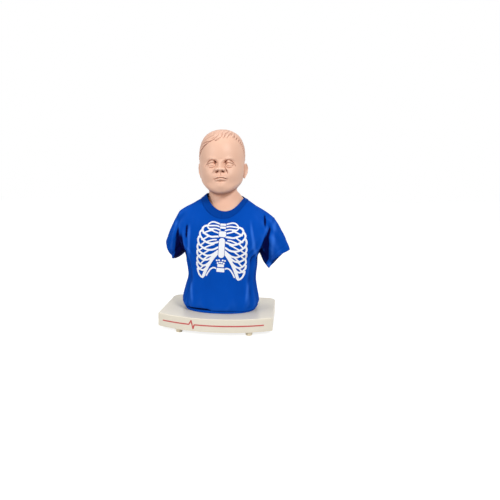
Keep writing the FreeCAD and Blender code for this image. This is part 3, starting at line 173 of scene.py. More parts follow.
# Section columns: half width, middle x, side y, side z, front y, front z, back y, back z,
# squareness, and how far the section lies in one plane
HEAD = np.array([
    (76, 0, 7, 327, -50, 307.05, 64, 346.95, 2.05, 1),
    (66, 6, 9, 336, -45, 316, 62, 355, 2, 0.5),
    (57, 9, 12, 346, -36, 328, 61, 363, 2, 0),
    (50, 7, 14, 357, -30, 341, 60, 371, 2, 0),
    (45, 2.5, 15, 367, -28, 353, 61, 378, 2, 0),
    (44.5, 1, 14, 375, -40, 357, 62, 386, 2, 0),
    (51, 0.5, 10, 383, -62, 361, 66, 395, 2.1, 0),
    (57.5, 0.5, 6, 391, -76, 367, 74, 406, 2.2, 0),
    (62.5, 0.5, 3, 400, -82, 377, 83, 420, 2.3, 0),
    (65, 0.5, 2, 410, -83, 391, 89, 437, 2.2, 0),
    (66.7, 0.5, 2, 421, -84, 404, 93, 454, 2.2, 0),
    (68, 0.5, 3, 434, -85, 418, 95, 470, 2.2, 0),
    (69.5, 0, 5, 449, -85, 434, 96, 485, 2.2, 0),
    (69.5, 0, 7, 466, -83, 452, 95, 500, 2.2, 0),
    (69.5, 0, 9, 484, -83, 471, 92, 514, 2.2, 0),
    (67.5, 0, 10, 502, -82, 492, 86, 526, 2.1, 0),
    (61.5, 0, 10, 520, -75, 513, 75, 537, 2.1, 0),
    (51.5, 0, 10, 536, -60, 532, 58, 546, 2, 0),
    (35, 0, 9, 548, -37, 547, 36, 552, 2, 0),
    (17, 0, 8, 554.5, -12, 554.5, 22, 556, 2, 0),
    (0, 0, 5, 556.4, 5, 556.4, 5, 556.4, 2, 0),
])
SHIRT = np.array([
    (112, -2, 0, 0.4, -87, 0.4, 80, 0.4, 2.4, 0),
    (112.5, -2, 0, 4, -87.5, 5, 80, 4, 2.4, 0),
    (107, -2, 0, 8, -82, 10, 76, 8, 2.4, 0),
    (117, -2, 0, 8, -88, 11, 82, 8, 2.4, 0),
    (119, -3, 0, 13, -92, 16, 87, 13, 2.3, 0),
    (120.5, -3, 0, 28, -91, 32, 86, 28, 2.3, 0),
    (114, -2, 0, 62, -86, 64, 80, 62, 2.3, 0),
    (106, 1, 0, 100, -81, 100, 76, 100, 2.4, 0),
    (110, 2, 0, 138, -79, 136, 76, 138, 2.4, 0),
    (116, 0, 0, 168, -79, 162, 77, 168, 2.4, 0),
    (129, 3, 0, 186, -79, 178, 78, 186, 2.4, 0),
    (158, 6, 1, 214, -78, 200, 79, 216, 2.4, 0),
    (170, 8, 2, 252, -76, 222, 79, 252, 2.4, 0),
    (158, 9, 3, 286, -73, 242, 79, 286, 2.3, 0),
    (133, 9, 4, 308, -70, 260, 78, 314, 2.3, 0),
    (102, 9, 5, 326, -66, 275, 77, 336, 2.3, 0),
    (73, 9, 6, 343.5, -62, 288.6, 74, 352, 2.3, 0),
])
NECKLINE = np.array((58, 11, 7, 356, -52, 312, 69, 362, 2.2, 0), float)


def power(value, exponent):
    return np.copysign(np.abs(value) ** exponent, value)


def bump(distance, width):
    """A smooth hill, 1 in the middle and fading over the width."""
    return np.exp(-(distance / width) ** 2)


def ease(value, low, high):
    """0 below low, 1 above high and smooth between."""
    share = np.clip((value - low) / (high - low), 0.0, 1.0)
    return share * share * (3 - 2 * share)


def plateau(value, start, full, fading, end):
    """1 between full and fading, 0 outside start and end, and smooth between."""
    return ease(value, start, full) * (1 - ease(value, fading, end))


def signed(angle):
    """The same angle, between minus and plus half a turn."""
    return np.arctan2(np.sin(angle), np.cos(angle))


def lowered(points, drop):
    return points - drop[..., None] * np.array([0, 0, 1])


def between(sections, step):
    """The sections at steps between the rows of a table, on Catmull-Rom curves through them."""
    last = len(sections) - 1
    row = np.clip(np.floor(step).astype(int), 0, last - 1)
    part = (step - row)[..., None]
    a, b, c, d = [sections[np.clip(row + shift, 0, last)] for shift in (-1, 0, 1, 2)]
    squared = 2 * a - 5 * b + 4 * c - d
    cubed = 3 * (b - c) + d - a
    return b + 0.5 * part * (c - a + part * (squared + part * cubed))


def ring_point(section, angle):
    """Points of closed sections. Angle 0 is the front, 90 degrees the viewer's right."""
    columns = np.moveaxis(section, -1, 0)
    half, middle, side_y, side_z, ahead_y, ahead_z, behind_y, behind_z, square, flat = columns
    ahead, across = np.cos(angle), np.sin(angle)
    bend = np.abs(ahead) ** (2 / square)
    end_y = np.where(ahead > 0, ahead_y, behind_y)
    end_z = np.where(ahead > 0, ahead_z, behind_z)
    lift = flat * bend + (1 - flat) * ahead * ahead
    return np.stack([middle + half * power(across, 2 / square), side_y + (end_y - side_y) * bend,
                     side_z + (end_z - side_z) * lift], axis=-1)


def unit(vectors):
    return vectors / np.maximum(np.linalg.norm(vectors, axis=-1, keepdims=True), 1e-9)


def outward(surface, angle, step):
    """Unit vectors out of a surface given by angle and step."""
    small = 0.01
    along = surface(angle + small, step) - surface(angle - small, step)
    upward = surface(angle, step + small) - surface(angle, step - small)
    normal = np.cross(along, upward)
    flat = np.linalg.norm(normal, axis=-1, keepdims=True) < 1e-9
    return np.where(flat, np.array([0.0, 0.0, 1.0]), unit(normal))


def smooth_noise(points, size, seed):
    """Soft noise of a given grain at each point, from -1 to 1."""
    shift = Vector((seed * 7.1, seed * 3.7, seed * 5.3))
    flat = points.reshape(-1, 3) / size
    values = [noise.noise(Vector(point) + shift) for point in flat]
    return np.array(values).reshape(points.shape[:-1])


def even(count):
    return np.arange(count) * (2 * math.pi / count)


def grid(turns, steps):
    """Angles along the columns and steps along the rows of one grid."""
    return np.broadcast_arrays(turns[None, :], steps[:, None])


def tube_faces(rows, columns):
    """Quads between rows of points that close round on themselves."""
    faces = []
    for row in range(rows - 1):
        for column in range(columns):
            beside = (column + 1) % columns
            low, high = row * columns, (row + 1) * columns
            faces.append((low + column, low + beside, high + beside, high + column))
    return faces


def add_piece(name, points, faces, node, material):
    """A smooth mesh that stands for a CAD node, from points in millimetres."""
    mesh = bpy.data.meshes.new(name)
    mesh.from_pydata([tuple(p) for p in (np.reshape(points, (-1, 3)) + BODY) * MM], [], faces)
    mesh.validate()
    mesh.polygons.foreach_set("use_smooth", [True] * len(mesh.polygons))
    mesh.materials.append(material)
    piece = bpy.data.objects.new(name, mesh)
    bpy.context.collection.objects.link(piece)
    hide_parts(node)
    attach(piece, BODY_NAME)
    return piece


SMOOTH_KEPT = 0.34
SMOOTH_TAKEN = 0.33


def hollow_depth(points, away, passes):
    """Millimetres that each point of a closed grid lies below a smoothed copy of it."""
    soft = points.copy()
    for _ in range(passes):
        beside = (np.roll(soft, 1, axis=1) + np.roll(soft, -1, axis=1)) / 2
        level = soft.copy()
        level[1:-1] = (soft[:-2] + soft[2:]) / 2
        soft = soft * SMOOTH_KEPT + beside * SMOOTH_TAKEN + level * SMOOTH_TAKEN
    return np.sum((soft - points) * away, axis=-1)


def store_painted_light(piece, painted_shade_depth):
    """Keep the amount of painted shade and painted highlight, in millimetres of hollow depth, on a mesh for
    its material.
    """
    values = np.zeros(len(piece.data.vertices), np.float32)
    flat = painted_shade_depth.reshape(-1)
    values[:len(flat)] = flat
    # The hollow attribute carries the painted shade and highlight to the material
    layer = piece.data.attributes.new("hollow", "FLOAT", "POINT")
    layer.data.foreach_set("value", values)


# Materials

def srgb(tone):
    """A tone on the screen's 0 to 255 scale as light values."""
    share = np.array(tone) / 255
    light = np.where(share <= 0.04045, share / 12.92, ((share + 0.055) / 1.055) ** 2.4)
    return (*light.tolist(), 1.0)


def set_inputs(tree, node, **inputs):
    """Set or link a node's inputs, with an underscore for a space in a name."""
    for name, value in inputs.items():
        socket = node.inputs[name.replace("_", " ")]
        if isinstance(value, bpy.types.NodeSocket):
            tree.links.new(value, socket)
        else:
            socket.default_value = value


def add_node(tree, kind, **inputs):
    node = tree.nodes.new("ShaderNode" + kind)
    set_inputs(tree, node, **inputs)
    return node


def mix_tone(tree, base, tone, share):
    """A mix from a tone, or from another node's output, to a tone."""
    mix = add_node(tree, "Mix")
    mix.data_type = "RGBA"
    first = srgb(base) if isinstance(base, tuple) else base
    set_inputs(tree, mix, A=first, B=srgb(tone), Factor=share)
    return mix.outputs["Result"]


def new_material(name, colour, other, roughness, grain, bump_scale, bump_strength, specular=0.5):
    """A surface whose colour drifts between two tones, with a fine grain."""
    material = bpy.data.materials.new(name)
    material.use_nodes = True
    tree = material.node_tree
    places = add_node(tree, "TexCoord").outputs["Object"]
    drift = add_node(tree, "TexNoise", Vector=places, Scale=grain, Detail=4.0)
    fine = add_node(tree, "TexNoise", Vector=places, Scale=bump_scale, Detail=3.0)
    relief = add_node(tree, "Bump", Strength=bump_strength, Distance=0.001, Height=fine.outputs["Fac"])
    mixed = mix_tone(tree, colour, other, drift.outputs["Fac"])
    set_inputs(tree, tree.nodes["Principled BSDF"], Base_Color=mixed, Roughness=roughness,
               Specular_IOR_Level=specular, Normal=relief.outputs["Normal"])
    return material


def paint_shade_and_highlight(material, deep, raised, reach):
    """Darken the colour in hollows as painted shade and lighten it on ridges as painted highlight, over a
    reach in millimetres.
    """
    tree = material.node_tree
    shader = tree.nodes["Principled BSDF"]
    plain = shader.inputs["Base Color"].links[0].from_socket
    hollow = add_node(tree, "Attribute")
    hollow.attribute_name = "hollow"
    # The deep tone is painted shade in hollows, the raised tone painted highlight on ridges
    for tone, full in ((deep, reach), (raised, -reach)):
        share = add_node(tree, "MapRange", Value=hollow.outputs["Fac"], From_Min=0.0, From_Max=full)
        share.interpolation_type = "SMOOTHSTEP"
        plain = mix_tone(tree, plain, tone, share.outputs["Result"])
    set_inputs(tree, shader, Base_Color=plain)


# Relief of the knitted cloth: scale of its bands, waviness, strength, height in metres
PLAIN_KNIT = (260.0, 0.6, 0.35, 0.0003)
RIB_KNIT = (110.0, 0.0, 0.7, 0.0006)


def knit_material(name, colour, other, knit):
    """Knitted cotton: rows of small loops in its relief, or ribs along the neck band."""
    material = new_material(name, colour, other, 0.85, 14.0, 900.0, 0.25, specular=0.06)
    tree = material.node_tree
    scale, waviness, strength, height = knit
    fine = next(node for node in tree.nodes if node.type == "BUMP")
    layout = add_node(tree, "UVMap")
    layout.uv_map = "cloth"
    wave = add_node(tree, "TexWave", Vector=layout.outputs["UV"], Scale=scale, Distortion=waviness)
    wave.wave_type = "BANDS"
    wave.bands_direction = "X"
    loops = add_node(tree, "Bump", Strength=strength, Distance=height, Height=wave.outputs["Fac"],
                     Normal=fine.outputs["Normal"])
    set_inputs(tree, tree.nodes["Principled BSDF"], Normal=loops.outputs["Normal"])
    return material


# Plain surfaces: two tones, roughness, scale of their drift, scale and strength of the fine relief
SURFACES = {
    "skin_vinyl": ((236, 191, 166), (231, 184, 158), 0.5, 22.0, 700.0, 0.06),
    "torso_vinyl": ((240, 197, 172), (234, 189, 163), 0.5, 22.0, 700.0, 0.06),
    "print_white": ((246, 247, 250), (236, 238, 243), 0.6, 60.0, 900.0, 0.2),
    "housing_cream": ((240, 232, 214), (234, 225, 206), 0.32, 9.0, 1200.0, 0.1),
    # The feet's cream, lightened as painted light to make up for the shade they stand in
    "foot_cream_painted_light": ((246, 232, 203), (240, 225, 195), 0.45, 30.0, 1200.0, 0.1),
    "trace_red": ((206, 84, 84), (198, 72, 74), 0.5, 80.0, 900.0, 0.1),
    "floor_white": ((184, 184, 184), (180, 180, 180), 0.9, 3.0, 50.0, 0.0),
}
# Hollow depths in millimetres at which the painted shade and painted highlight are full
SKIN_SHADE_REACH = 1.5
CLOTH_SHADE_REACH = 3.6

looks = {name: new_material(name, *values) for name, values in SURFACES.items()}
looks["shirt_blue"] = knit_material("shirt_blue", (0, 78, 185), (0, 72, 173), PLAIN_KNIT)
looks["collar_blue"] = knit_material("collar_blue", (0, 67, 163), (0, 62, 153), RIB_KNIT)
# Painted shade in the hollows and painted highlight on the ridges of the skin and the shirt
paint_shade_and_highlight(looks["skin_vinyl"], (140, 76, 54), (243, 202, 180), SKIN_SHADE_REACH)
paint_shade_and_highlight(looks["shirt_blue"], (0, 6, 66), (46, 108, 212), CLOTH_SHADE_REACH)


# Head and face

def turn_about_neck(points, share):
    angle = math.radians(HEAD_TURN) * share
    x, y, z = np.moveaxis(points, -1, 0)
    y = y - NECK_AXIS_Y
    return np.stack([x * np.cos(angle) - y * np.sin(angle),
                     NECK_AXIS_Y + x * np.sin(angle) + y * np.cos(angle), z], axis=-1)


# The hair's edge: angle round the head and height. Waves of its fringe: height, waves a radian, shift
HAIR_EDGE = np.array([
    (-2.7, 401), (-1.9, 459), (-1.55, 460), (-1.3, 471), (-1.1, 487), (-0.85, 503), (-0.6, 516),
    (-0.3, 522), (0.0, 525), (0.3, 531), (0.6, 531), (0.85, 524), (1.1, 509), (1.3, 484), (1.55, 462),
    (1.9, 459), (2.7, 401),
])
FRINGE_WAVES = [(2.8, 15, 1.0), (1.4, 31, 0.0)]
FRINGE_TURN = 0.12
FRINGE_REACH = 0.45
EDGE_WAVE = (0.9, 13)
HAIR_SOFT = 0.9


def hairline(angle):
    """Lowest height of the hair at an angle round the head."""
    turn = signed(angle)
    height = np.interp(turn, HAIR_EDGE[:, 0], HAIR_EDGE[:, 1])
    ragged = sum(size * np.sin(count * turn + shift) for size, count, shift in FRINGE_WAVES)
    wave = EDGE_WAVE[0] * np.sin(EDGE_WAVE[1] * turn)
    return height + bump(turn - FRINGE_TURN, FRINGE_REACH) * ragged + wave


def hair_cover(over, step):
    """1 on the hair and 0 on the skin."""
    return ease(over, -HAIR_SOFT, HAIR_SOFT) * ease(step, *HAIR_STEPS)


# Soft forms of the face: distance from the middle line, reach, height, its reach, how far it stands out
FACE_FORMS = {
    "wing of the nose": (11.2, 4.2, NOSE_TIP_Z + 0.5, 5.4, 8.4),
    "eye socket": (EYE_X - 2, 17, EYE_Z + 1.5, 12.5, -9.0),
    "inner corner of the eye": (15.5, 4.6, EYE_Z + 6.5, 6.5, -9.5),
    "dip between the brows": (0, 8, BROW_Z - 4, 4, -1.2),
    "cheek": (38, 19, 421, 18, 5.5),
    "muzzle": (0, 25, MOUTH_Z + 1, 16, 4.5),
}
# The same from the middle of the mouth
MOUTH_FORMS = {
    "corner": (MOUTH_HALF + 1.0, 2.4, MOUTH_Z - 5, 3.4, -2.0),
    "fold under the lower lip": (0, 13, MOUTH_Z - 10.2, 2.6, -3.8),
    "groove over the upper lip": (0, 2.0, MOUTH_Z + 10, 4, -1.8),
    "chin": (0, 16, CHIN_Z + 2, 10, 5.0),
}
# Rounded forms beside a line: how far they stand out, place over the line, reach
EYEBALL = (6.5, 1.5, 9.5)
LID_FOLD = (-3.6, -0.5, 1.7)
UPPER_LID = [(2.3, 1.4, 1.3), (-2.6, -0.7, 1.1)]
LOWER_LID = [(2.2, -1.4, 1.2), (-2.0, 0.6, 1.0)]
EYE_BAG = (-2.2, 0.0, 1.6)
UPPER_LIP = (4.0, 3.4, 2.7)
LOWER_LIP = (4.4, -4.2, 3.2)
LIP_LINE = (-4.4, 0.0, 1.2)

EYE_SLOPE = 0.12
EYE_SINK = 1.2
BAG_SHIFT = 2.0
FOLD_SHIFT = 1.5
MOUTH_DROOP = 5.2
BRIDGE_REACH = 17.0
BRIDGE_POWER = 1.6
NOSE_UNDER = 5.5
NOSTRIL_X = 8.0
NOSTRIL_DROP = 5.0
NOSTRIL_SLOPE = 0.35
WING_X = 16.6
WING_SPREAD = 0.42


def soft_forms(forms, side, z):
    """The sum of soft hills and dents beside a middle line."""
    relief = np.zeros(np.broadcast(side, z).shape)
    for place, reach, level, level_reach, height in forms.values():
        relief += height * bump(side - place, reach) * bump(z - level, level_reach)
    return relief


def rounded(distance, form):
    """One rounded form beside a line."""
    height, place, reach = form
    return height * bump(distance - place, reach)


def span(across, half, end, fade):
    """1 across a feature, fading out before its end, in half widths."""
    return ease(end - np.abs(across) / half, 0.0, fade)


def arch(across, half):
    """Height of a lid's round arch, from 1 in its middle to 0 at its corners."""
    return np.sqrt(np.maximum(1 - (across / half) ** 2, 0.0))


def nose_profile(z):
    """How far the ridge of the nose stands out at a height."""
    up = z - NOSE_TIP_Z - 1
    bridge = np.exp(-np.abs(up / BRIDGE_REACH) ** BRIDGE_POWER)
    return NOSE_REACH * np.where(up > 0, bridge, bump(up, NOSE_UNDER))


def nostril(side, z):
    beside = side - NOSTRIL_X
    return bump(beside, 4.2) * bump(z - NOSE_TIP_Z + NOSTRIL_DROP + NOSTRIL_SLOPE * beside, 3.0)


def wing_crease(side, z):
    """The fold that runs down from a wing of the nose."""
    line = WING_X + WING_SPREAD * (NOSE_TIP_Z + 2 - z)
    return bump(side - line, 1.8) * bump(z - NOSE_TIP_Z + 1.5, 10)


def eye_relief(side, z):
    """One eye: the ball between its lids, the deep fold over it and the bag under it."""
    across = side - EYE_X
    level = z - EYE_Z + EYE_SLOPE * across
    over = level - LID_ABOVE * arch(across, EYE_HALF)
    under = level + LID_BELOW * arch(across, EYE_HALF)
    fold = level - CREASE_ABOVE * (1 - ((across + FOLD_SHIFT) / CREASE_HALF) ** 2)
    bag = level + BAG_BELOW * arch(across + BAG_SHIFT, EYE_HALF * 0.95)
    within = span(across, EYE_HALF, 1.12, 0.16)
    lids = sum(rounded(over, form) for form in UPPER_LID) + sum(rounded(under, form) for form in LOWER_LID)
    sunk = EYE_SINK * ease(-over, 0, 1.0) * ease(under, 0, 1.0)
    return (bump(across, 11.5) * rounded(level, EYEBALL) + within * (lids - sunk)
            + span(across, CREASE_HALF, 1.08, 0.12) * rounded(fold, LID_FOLD)
            + span(across + BAG_SHIFT, EYE_HALF, 1.1, 0.3) * rounded(bag, EYE_BAG))


def mouth_relief(x, z):
    """The lips, the line between them and the dents round them."""
    line = MOUTH_Z - MOUTH_DROOP * (x / MOUTH_HALF) ** 2
    bow = 1.3 * bump(x, 3.5)
    lips = rounded(z - line + bow, UPPER_LIP) + bump(x, MOUTH_HALF * 0.9) * rounded(z - line, LOWER_LIP)
    lips = lips + rounded(z - line, LIP_LINE)
    return span(x, MOUTH_HALF, 1.12, 0.35) * lips + soft_forms(MOUTH_FORMS, np.abs(x), z)


def face_relief(x, z):
    """How far the face stands proud of the plain head at a place on its front."""
    side, hand = np.abs(x), np.sign(x)
    ridge_width = 6.6 + 6.0 * bump(z - NOSE_TIP_Z - 1, 8)
    brow_z = BROW_Z - 3.0 - 0.013 * (side - EYE_X) ** 2
    relief = nose_profile(z) * bump(x, ridge_width) - 12.0 * nostril(side, z)
    relief -= (2.9 + 1.1 * hand) * wing_crease(side, z)
    relief += 4.0 * bump(side - EYE_X + 3, 17) * bump(z - brow_z, 5.0)
    return relief + soft_forms(FACE_FORMS, side, z) + eye_relief(side, z) + mouth_relief(x - MOUTH_X, z)


def face_shade(x, z):
    """Extra depth of painted shade for the colour of the eyes' corners, nostrils and wings' folds; the
    eye's corner on the viewer's left, away from the key light, gets more.
    """
    side, hand = np.abs(x), np.sign(x)
    corner = bump(side - 17.0, 6.0) * bump(z - EYE_Z - 8.0, 4.0)
    return (0.6 - 0.25 * hand) * corner + 0.4 * nostril(side, z) + 0.35 * (1 + hand) * wing_crease(side, z)


def head_plain(angle, step):
    return ring_point(between(HEAD, step), angle)


def head_skin(angle, step):
    return turn_about_neck(head_plain(angle, step), ease(step, *TURN_STEPS))


def hair_relief(plain, over, front):
    """Height of the moulded hair, with strands that are deepest along its fringe."""
    swept = 7 * smooth_noise(plain, 30, 1) + plain @ HAIR_FLOW
    strands = 0.6 * np.sin(swept * 0.75) + 0.4 * np.sin(swept * 1.7 + 3 * smooth_noise(plain, 14, 2))
    fringe = bump(over - 3, 9) * ease(front, -0.2, 0.4)
    return HAIR_RELIEF + (strands - 1.0) * (0.35 + 1.5 * fringe) + 1.5 * fringe


def head_surface(angle, step):
    """The head with its face and the relief of its moulded hair."""
    plain = head_plain(angle, step)
    away = outward(head_plain, angle, step)
    front = np.cos(angle)
    over = plain[..., 2] - hairline(angle)
    hair = hair_cover(over, step) * (1 - ease(step, *BARE_TOP)) * hair_relief(plain, over, front)
    proud = face_relief(plain[..., 0], plain[..., 2]) * ease(front, *FACE_FRONT)
    proud = proud * ease(step, FACE_STEP, FACE_FULL_STEP)
    forward = np.maximum(0.0, -away[..., 1])
    lean = (np.array([0, -1, 0]) * 0.75 + away * 0.25) * (proud * (0.5 + 0.5 * forward))[..., None]
    return turn_about_neck(plain + away * hair[..., None] + lean, ease(step, *TURN_STEPS))


def place_on(surface, y, z, angle, step):
    """The angle and step where a surface passes places at y and z, by Newton's rule."""
    small = 0.01
    angle, step = np.full(y.shape, float(angle)), np.full(y.shape, float(step))
    for _ in range(12):
        here = surface(angle, step)
        turned = (surface(angle + small, step) - here) / small
        raised = (surface(angle, step + small) - here) / small
        miss_y, miss_z = y - here[..., 1], z - here[..., 2]
        spread = turned[..., 1] * raised[..., 2] - turned[..., 2] * raised[..., 1]
        angle = angle + (miss_y * raised[..., 2] - miss_z * raised[..., 1]) / spread
        step = step + (turned[..., 1] * miss_z - turned[..., 2] * miss_y) / spread
    return angle, step


# Ear, as rows from its hollow over the rim to its root: share of the outline, height over the head
EAR_HALF_HEIGHT = 21.5
EAR_HALF_WIDTH = 13.5
EAR_Z = 431.0
EAR_Y = 14.0
EAR_ROWS = np.array([
    (0.0, 0.6), (0.14, 0.6), (0.27, 1.2), (0.38, 3.2), (0.47, 6.4), (0.55, 7.2), (0.64, 5.6), (0.73, 4.2),
    (0.82, 5.4), (0.90, 10.4), (0.97, 12.2), (1.04, 11.2), (1.07, 7.6), (1.02, 3.6), (0.96, 0.8),
    (0.92, -1.6),
])
EAR_COLUMNS = 56
EAR_LINES = 48
EAR_HEAD_STEP = 11
EAR_GROOVE = 0.73
EAR_CUP = 0.32


def ear_profile():
    """Share of the ear's outline and height over the head, on a smooth line through its rows."""
    rows = between(EAR_ROWS, np.linspace(0, len(EAR_ROWS) - 1, EAR_LINES))
    return rows[:, :1], rows[:, 1:]


def ear_points(side):
    turn = even(EAR_COLUMNS)[None, :]
    share, height = ear_profile()
    upward, back = np.cos(turn), np.sin(turn)
    narrow = 0.82 + 0.18 * upward
    y = EAR_Y + share * EAR_HALF_WIDTH * back * narrow + 1.8 * share * upward
    z = EAR_Z + share * EAR_HALF_HEIGHT * upward
    angle, step = place_on(head_skin, y, z, side * math.pi / 2, EAR_HEAD_STEP)
    edge = np.minimum(1.0, share)
    forward = edge * (1 - ease(back, -1.1, 0.5))
    lobe = edge * ease(-upward, 0.1, 1)
    crown = edge * ease(upward, 0.45, 1.0)
    held = (1 - 0.8 * forward) * (1 - 0.45 * lobe) * (1 - 0.35 * crown)
    stand = np.where(height > 0, height * held, height)
    return head_skin(angle, step) + outward(head_skin, angle, step) * stand[..., None]


def ear_painted_shade(points, side):
    """Painted shade for the ear's colour from the depth of its hollows, with more painted in its cup and
    groove.
    """
    round_it = np.roll(points, -1, axis=1) - np.roll(points, 1, axis=1)
    away = unit(np.cross(np.gradient(points, axis=0), round_it)) * side
    share = ear_profile()[0]
    return hollow_depth(points, away, 3) + 0.9 * (bump(share, EAR_CUP) + bump(share - EAR_GROOVE, 0.08))


def head_grid():
    """Angles and steps of the head's points, closer together on the face."""
    parts = [np.linspace(0, FACE_STEP, END_ROWS, endpoint=False),
             np.linspace(FACE_STEP, CROWN_STEP, FACE_ROWS, endpoint=False),
             np.linspace(CROWN_STEP, TOP_STEP, END_ROWS)]
    turns = even(HEAD_COLUMNS)
    return grid(turns - 0.45 * np.sin(turns), np.concatenate(parts))


def head_painted_shade(points, angles, steps):
    """Amount of painted shade in the head's colour: in its hollows, at the face's darkest places, along the
    hair's edge, under the chin and over the hair.
    """
    plain = head_plain(angles, steps)
    over = plain[..., 2] - hairline(angles)
    front = ease(np.cos(angles), *FACE_FRONT)
    painted_shade_depth = hollow_depth(points, outward(head_surface, angles, steps), 8)
    painted_shade_depth += face_shade(plain[..., 0], plain[..., 2]) * front
    # Painted shadow along the step at the hair's edge, on the viewer's left
    hairline_painted_shadow = bump(over + 0.7, 1.4) * (1 - ease(signed(angles), -0.5, 0.2))
    painted_shade_depth += 1.1 * hairline_painted_shadow * front
    painted_shade_depth *= plateau(steps, SHADE_STEP, FACE_FULL_STEP, *BARE_TOP)
    # Painted shadow under the chin, and painted shade over the moulded hair
    chin_painted_shadow = bump(steps - 6.0, 1.1)
    return painted_shade_depth + 1.1 * chin_painted_shadow * front + HAIR_SHADE * hair_cover(over, steps)


def make_head():
    """The head and its ears in one piece, closed at the crown."""
    angles, steps = head_grid()
    points = head_surface(angles, steps)
    faces = tube_faces(len(steps), HEAD_COLUMNS)
    top = len(steps) * HEAD_COLUMNS
    last = top - HEAD_COLUMNS
    faces += [(last + k, last + (k + 1) % HEAD_COLUMNS, top) for k in range(HEAD_COLUMNS)]
    everything = [points.reshape(-1, 3), points[-1].mean(axis=0)[None, :]]
    painted_shade_depth = [head_painted_shade(points, angles, steps).reshape(-1), [0.0]]
    for side in (-1, 1):
        ear = ear_points(side)
        ear_faces = np.array(tube_faces(*ear.shape[:2])) + sum(len(part) for part in everything)
        faces += [tuple(face[::side]) for face in ear_faces.tolist()]
        everything.append(ear.reshape(-1, 3))
        painted_shade_depth.append(ear_painted_shade(ear, side).reshape(-1))
    piece = add_piece("head_skin", np.concatenate(everything), faces, "head",
                      looks["skin_vinyl"])
    store_painted_light(piece, np.concatenate(painted_shade_depth))


make_head()

# Shirt

# Folds of its body: angle, width, first and last step, height, drift of the angle a step
SHIRT_FOLDS = [
    (-0.8, 0.09, 5, 13, 3.2, 0.01),
    (-1.08, 0.1, 4, 10.5, 3.4, -0.015),
    (-0.45, 0.12, 4, 7, 2, 0.03),
    (0.42, 0.12, 4, 7, 2, -0.03),
    (0.86, 0.09, 5, 13, 3.6, -0.012),
    (1.12, 0.1, 4, 10.5, 3.4, 0.015),
    (1.6, 0.12, 4, 9, 3, 0),
    (-1.6, 0.12, 4, 9, 3, 0),
    (2.05, 0.12, 4, 12, 3, 0.01),
    (-2.1, 0.12, 4, 12, 3, -0.01),
    (2.6, 0.13, 4, 11, 2.6, 0.015),
    (-2.65, 0.13, 4, 11, 2.6, -0.015),
    (3.12, 0.13, 4, 9, 2.2, 0),
    (1.02, 0.1, 8.3, 14.6, -8, 0.01),
    (-1.02, 0.1, 8.3, 14.6, -8, -0.01),
    (0.84, 0.09, 8, 13.5, 3, 0.012),
    (-0.84, 0.07, 8, 13, 2.6, -0.012),
    (0.6, 0.07, 9.5, 13.2, 1.8, -0.01),
    (0.5, 0.07, 9.5, 13.2, -1.6, -0.01),
    (-0.66, 0.05, 8, 12.5, 1.6, -0.02),
    (-0.68, 0.1, 3.6, 8.5, 2, -0.015),
    (-0.82, 0.1, 3.6, 8, -2.2, -0.015),
    (-0.98, 0.05, 4, 7, 2.6, 0.06),
    (-0.25, 0.06, 3.5, 6.2, 1.4, -0.06),
    (0.72, 0.13, 3.6, 9, 2.2, 0.03),
    (0.94, 0.11, 3.6, 8.5, -3, 0.02),
    (0.2, 0.06, 3.5, 6, 1.2, 0.05),
    (1.36, 0.06, 4, 9.5, 2.2, -0.02),
    (-1.34, 0.06, 4, 9.5, 2.2, 0.02),
    (1.84, 0.07, 4, 10, -2.2, 0.015),
    (-1.86, 0.07, 4, 10, -2.2, -0.015),
    (2.34, 0.06, 4, 13, 1.8, -0.015),
    (-2.38, 0.06, 4, 13, 1.8, 0.015),
    (2.88, 0.07, 4, 10, 1.6, -0.02),
    (-2.9, 0.07, 4, 12, 1.6, 0.02),
]
# Wrinkles of the cloth: height, grain, how far they are drawn out upward, seed
BODY_WRINKLES = [(1.1, 34, 0.45, 3), (0.45, 13, 0.5, 4)]
SLEEVE_WRINKLES = [(1.3, 26, 1, 5), (0.5, 11, 1, 6)]

# Single creases and ridges: x and z at the top and at the foot, width, height
CREASES = [
    (-100, 268, -101, 228, 2.4, -4),
    (-91, 264, -93, 165, 4.5, 1.9),
    (136, 306, 140, 264, 2.4, -4),
    (97, 274, 115, 158, 4.5, 2),
    (-88, 100, -80, 30, 4.5, 1.5),
    (92, 96, 84, 34, 5, 1.2),
]


def wrinkles(points, kinds):
    return sum(height * smooth_noise(points * np.array([1, 1, squash]), grain, seed)
               for height, grain, squash, seed in kinds)


def shirt_plain(angle, step):
    points = ring_point(between(SHIRT, step), angle)
    roll = SHIRT_ROLL * ease(step, 8, 12) + SHOULDER_ROLL * ease(step, 12, 15)
    return lowered(points, points[..., 0] * roll)


def shirt_surface(angle, step):
    """The shirt's body with its folds, its sway and the tuck and lift of its hem."""
    folds = np.zeros(np.broadcast(angle, step).shape)
    for place, width, first, last, height, drift in SHIRT_FOLDS:
        turn = signed(angle - place - drift * (step - first))
        folds += height * bump(turn, width) * plateau(step, first - 1, first + 1, last - 2, last)
    folds += SHIRT_SWAY * np.sin(7 * angle + 0.6) * plateau(step, 2.5, 4, 6, 9)
    away = outward(shirt_plain, angle, step) * np.array([1, 1, 0])
    turn = signed(angle)
    tuck = TUCK_DROP * (plateau(turn, *TUCK_SPAN) - plateau(turn, *LIFT_SPAN)) * bump(step - HEM_STEP, 1.0)
    return lowered(shirt_plain(angle, step) + away * folds[..., None], tuck)


def armpit(side):
    """The place on the shirt's side at the height of the armpit."""
    points = shirt_surface(np.full(ARMPIT_STEPS.shape, side * math.pi / 2), ARMPIT_STEPS)
    found = points[np.argmax(points[:, 2] >= ARMPIT_HEIGHT[side])]
    return np.array([found[0], 0, found[2]])


def ring_frame(low, high, side):
    """Middle, upward direction and outward direction of the plane of a sleeve's seam or hem."""
    upward = unit(high - low)
    return (low + high) / 2, upward, np.array([upward[2], 0, -upward[0]]) * side


def armhole_frame(side):
    return ring_frame(armpit(side), np.array(SHOULDER[side]), side)


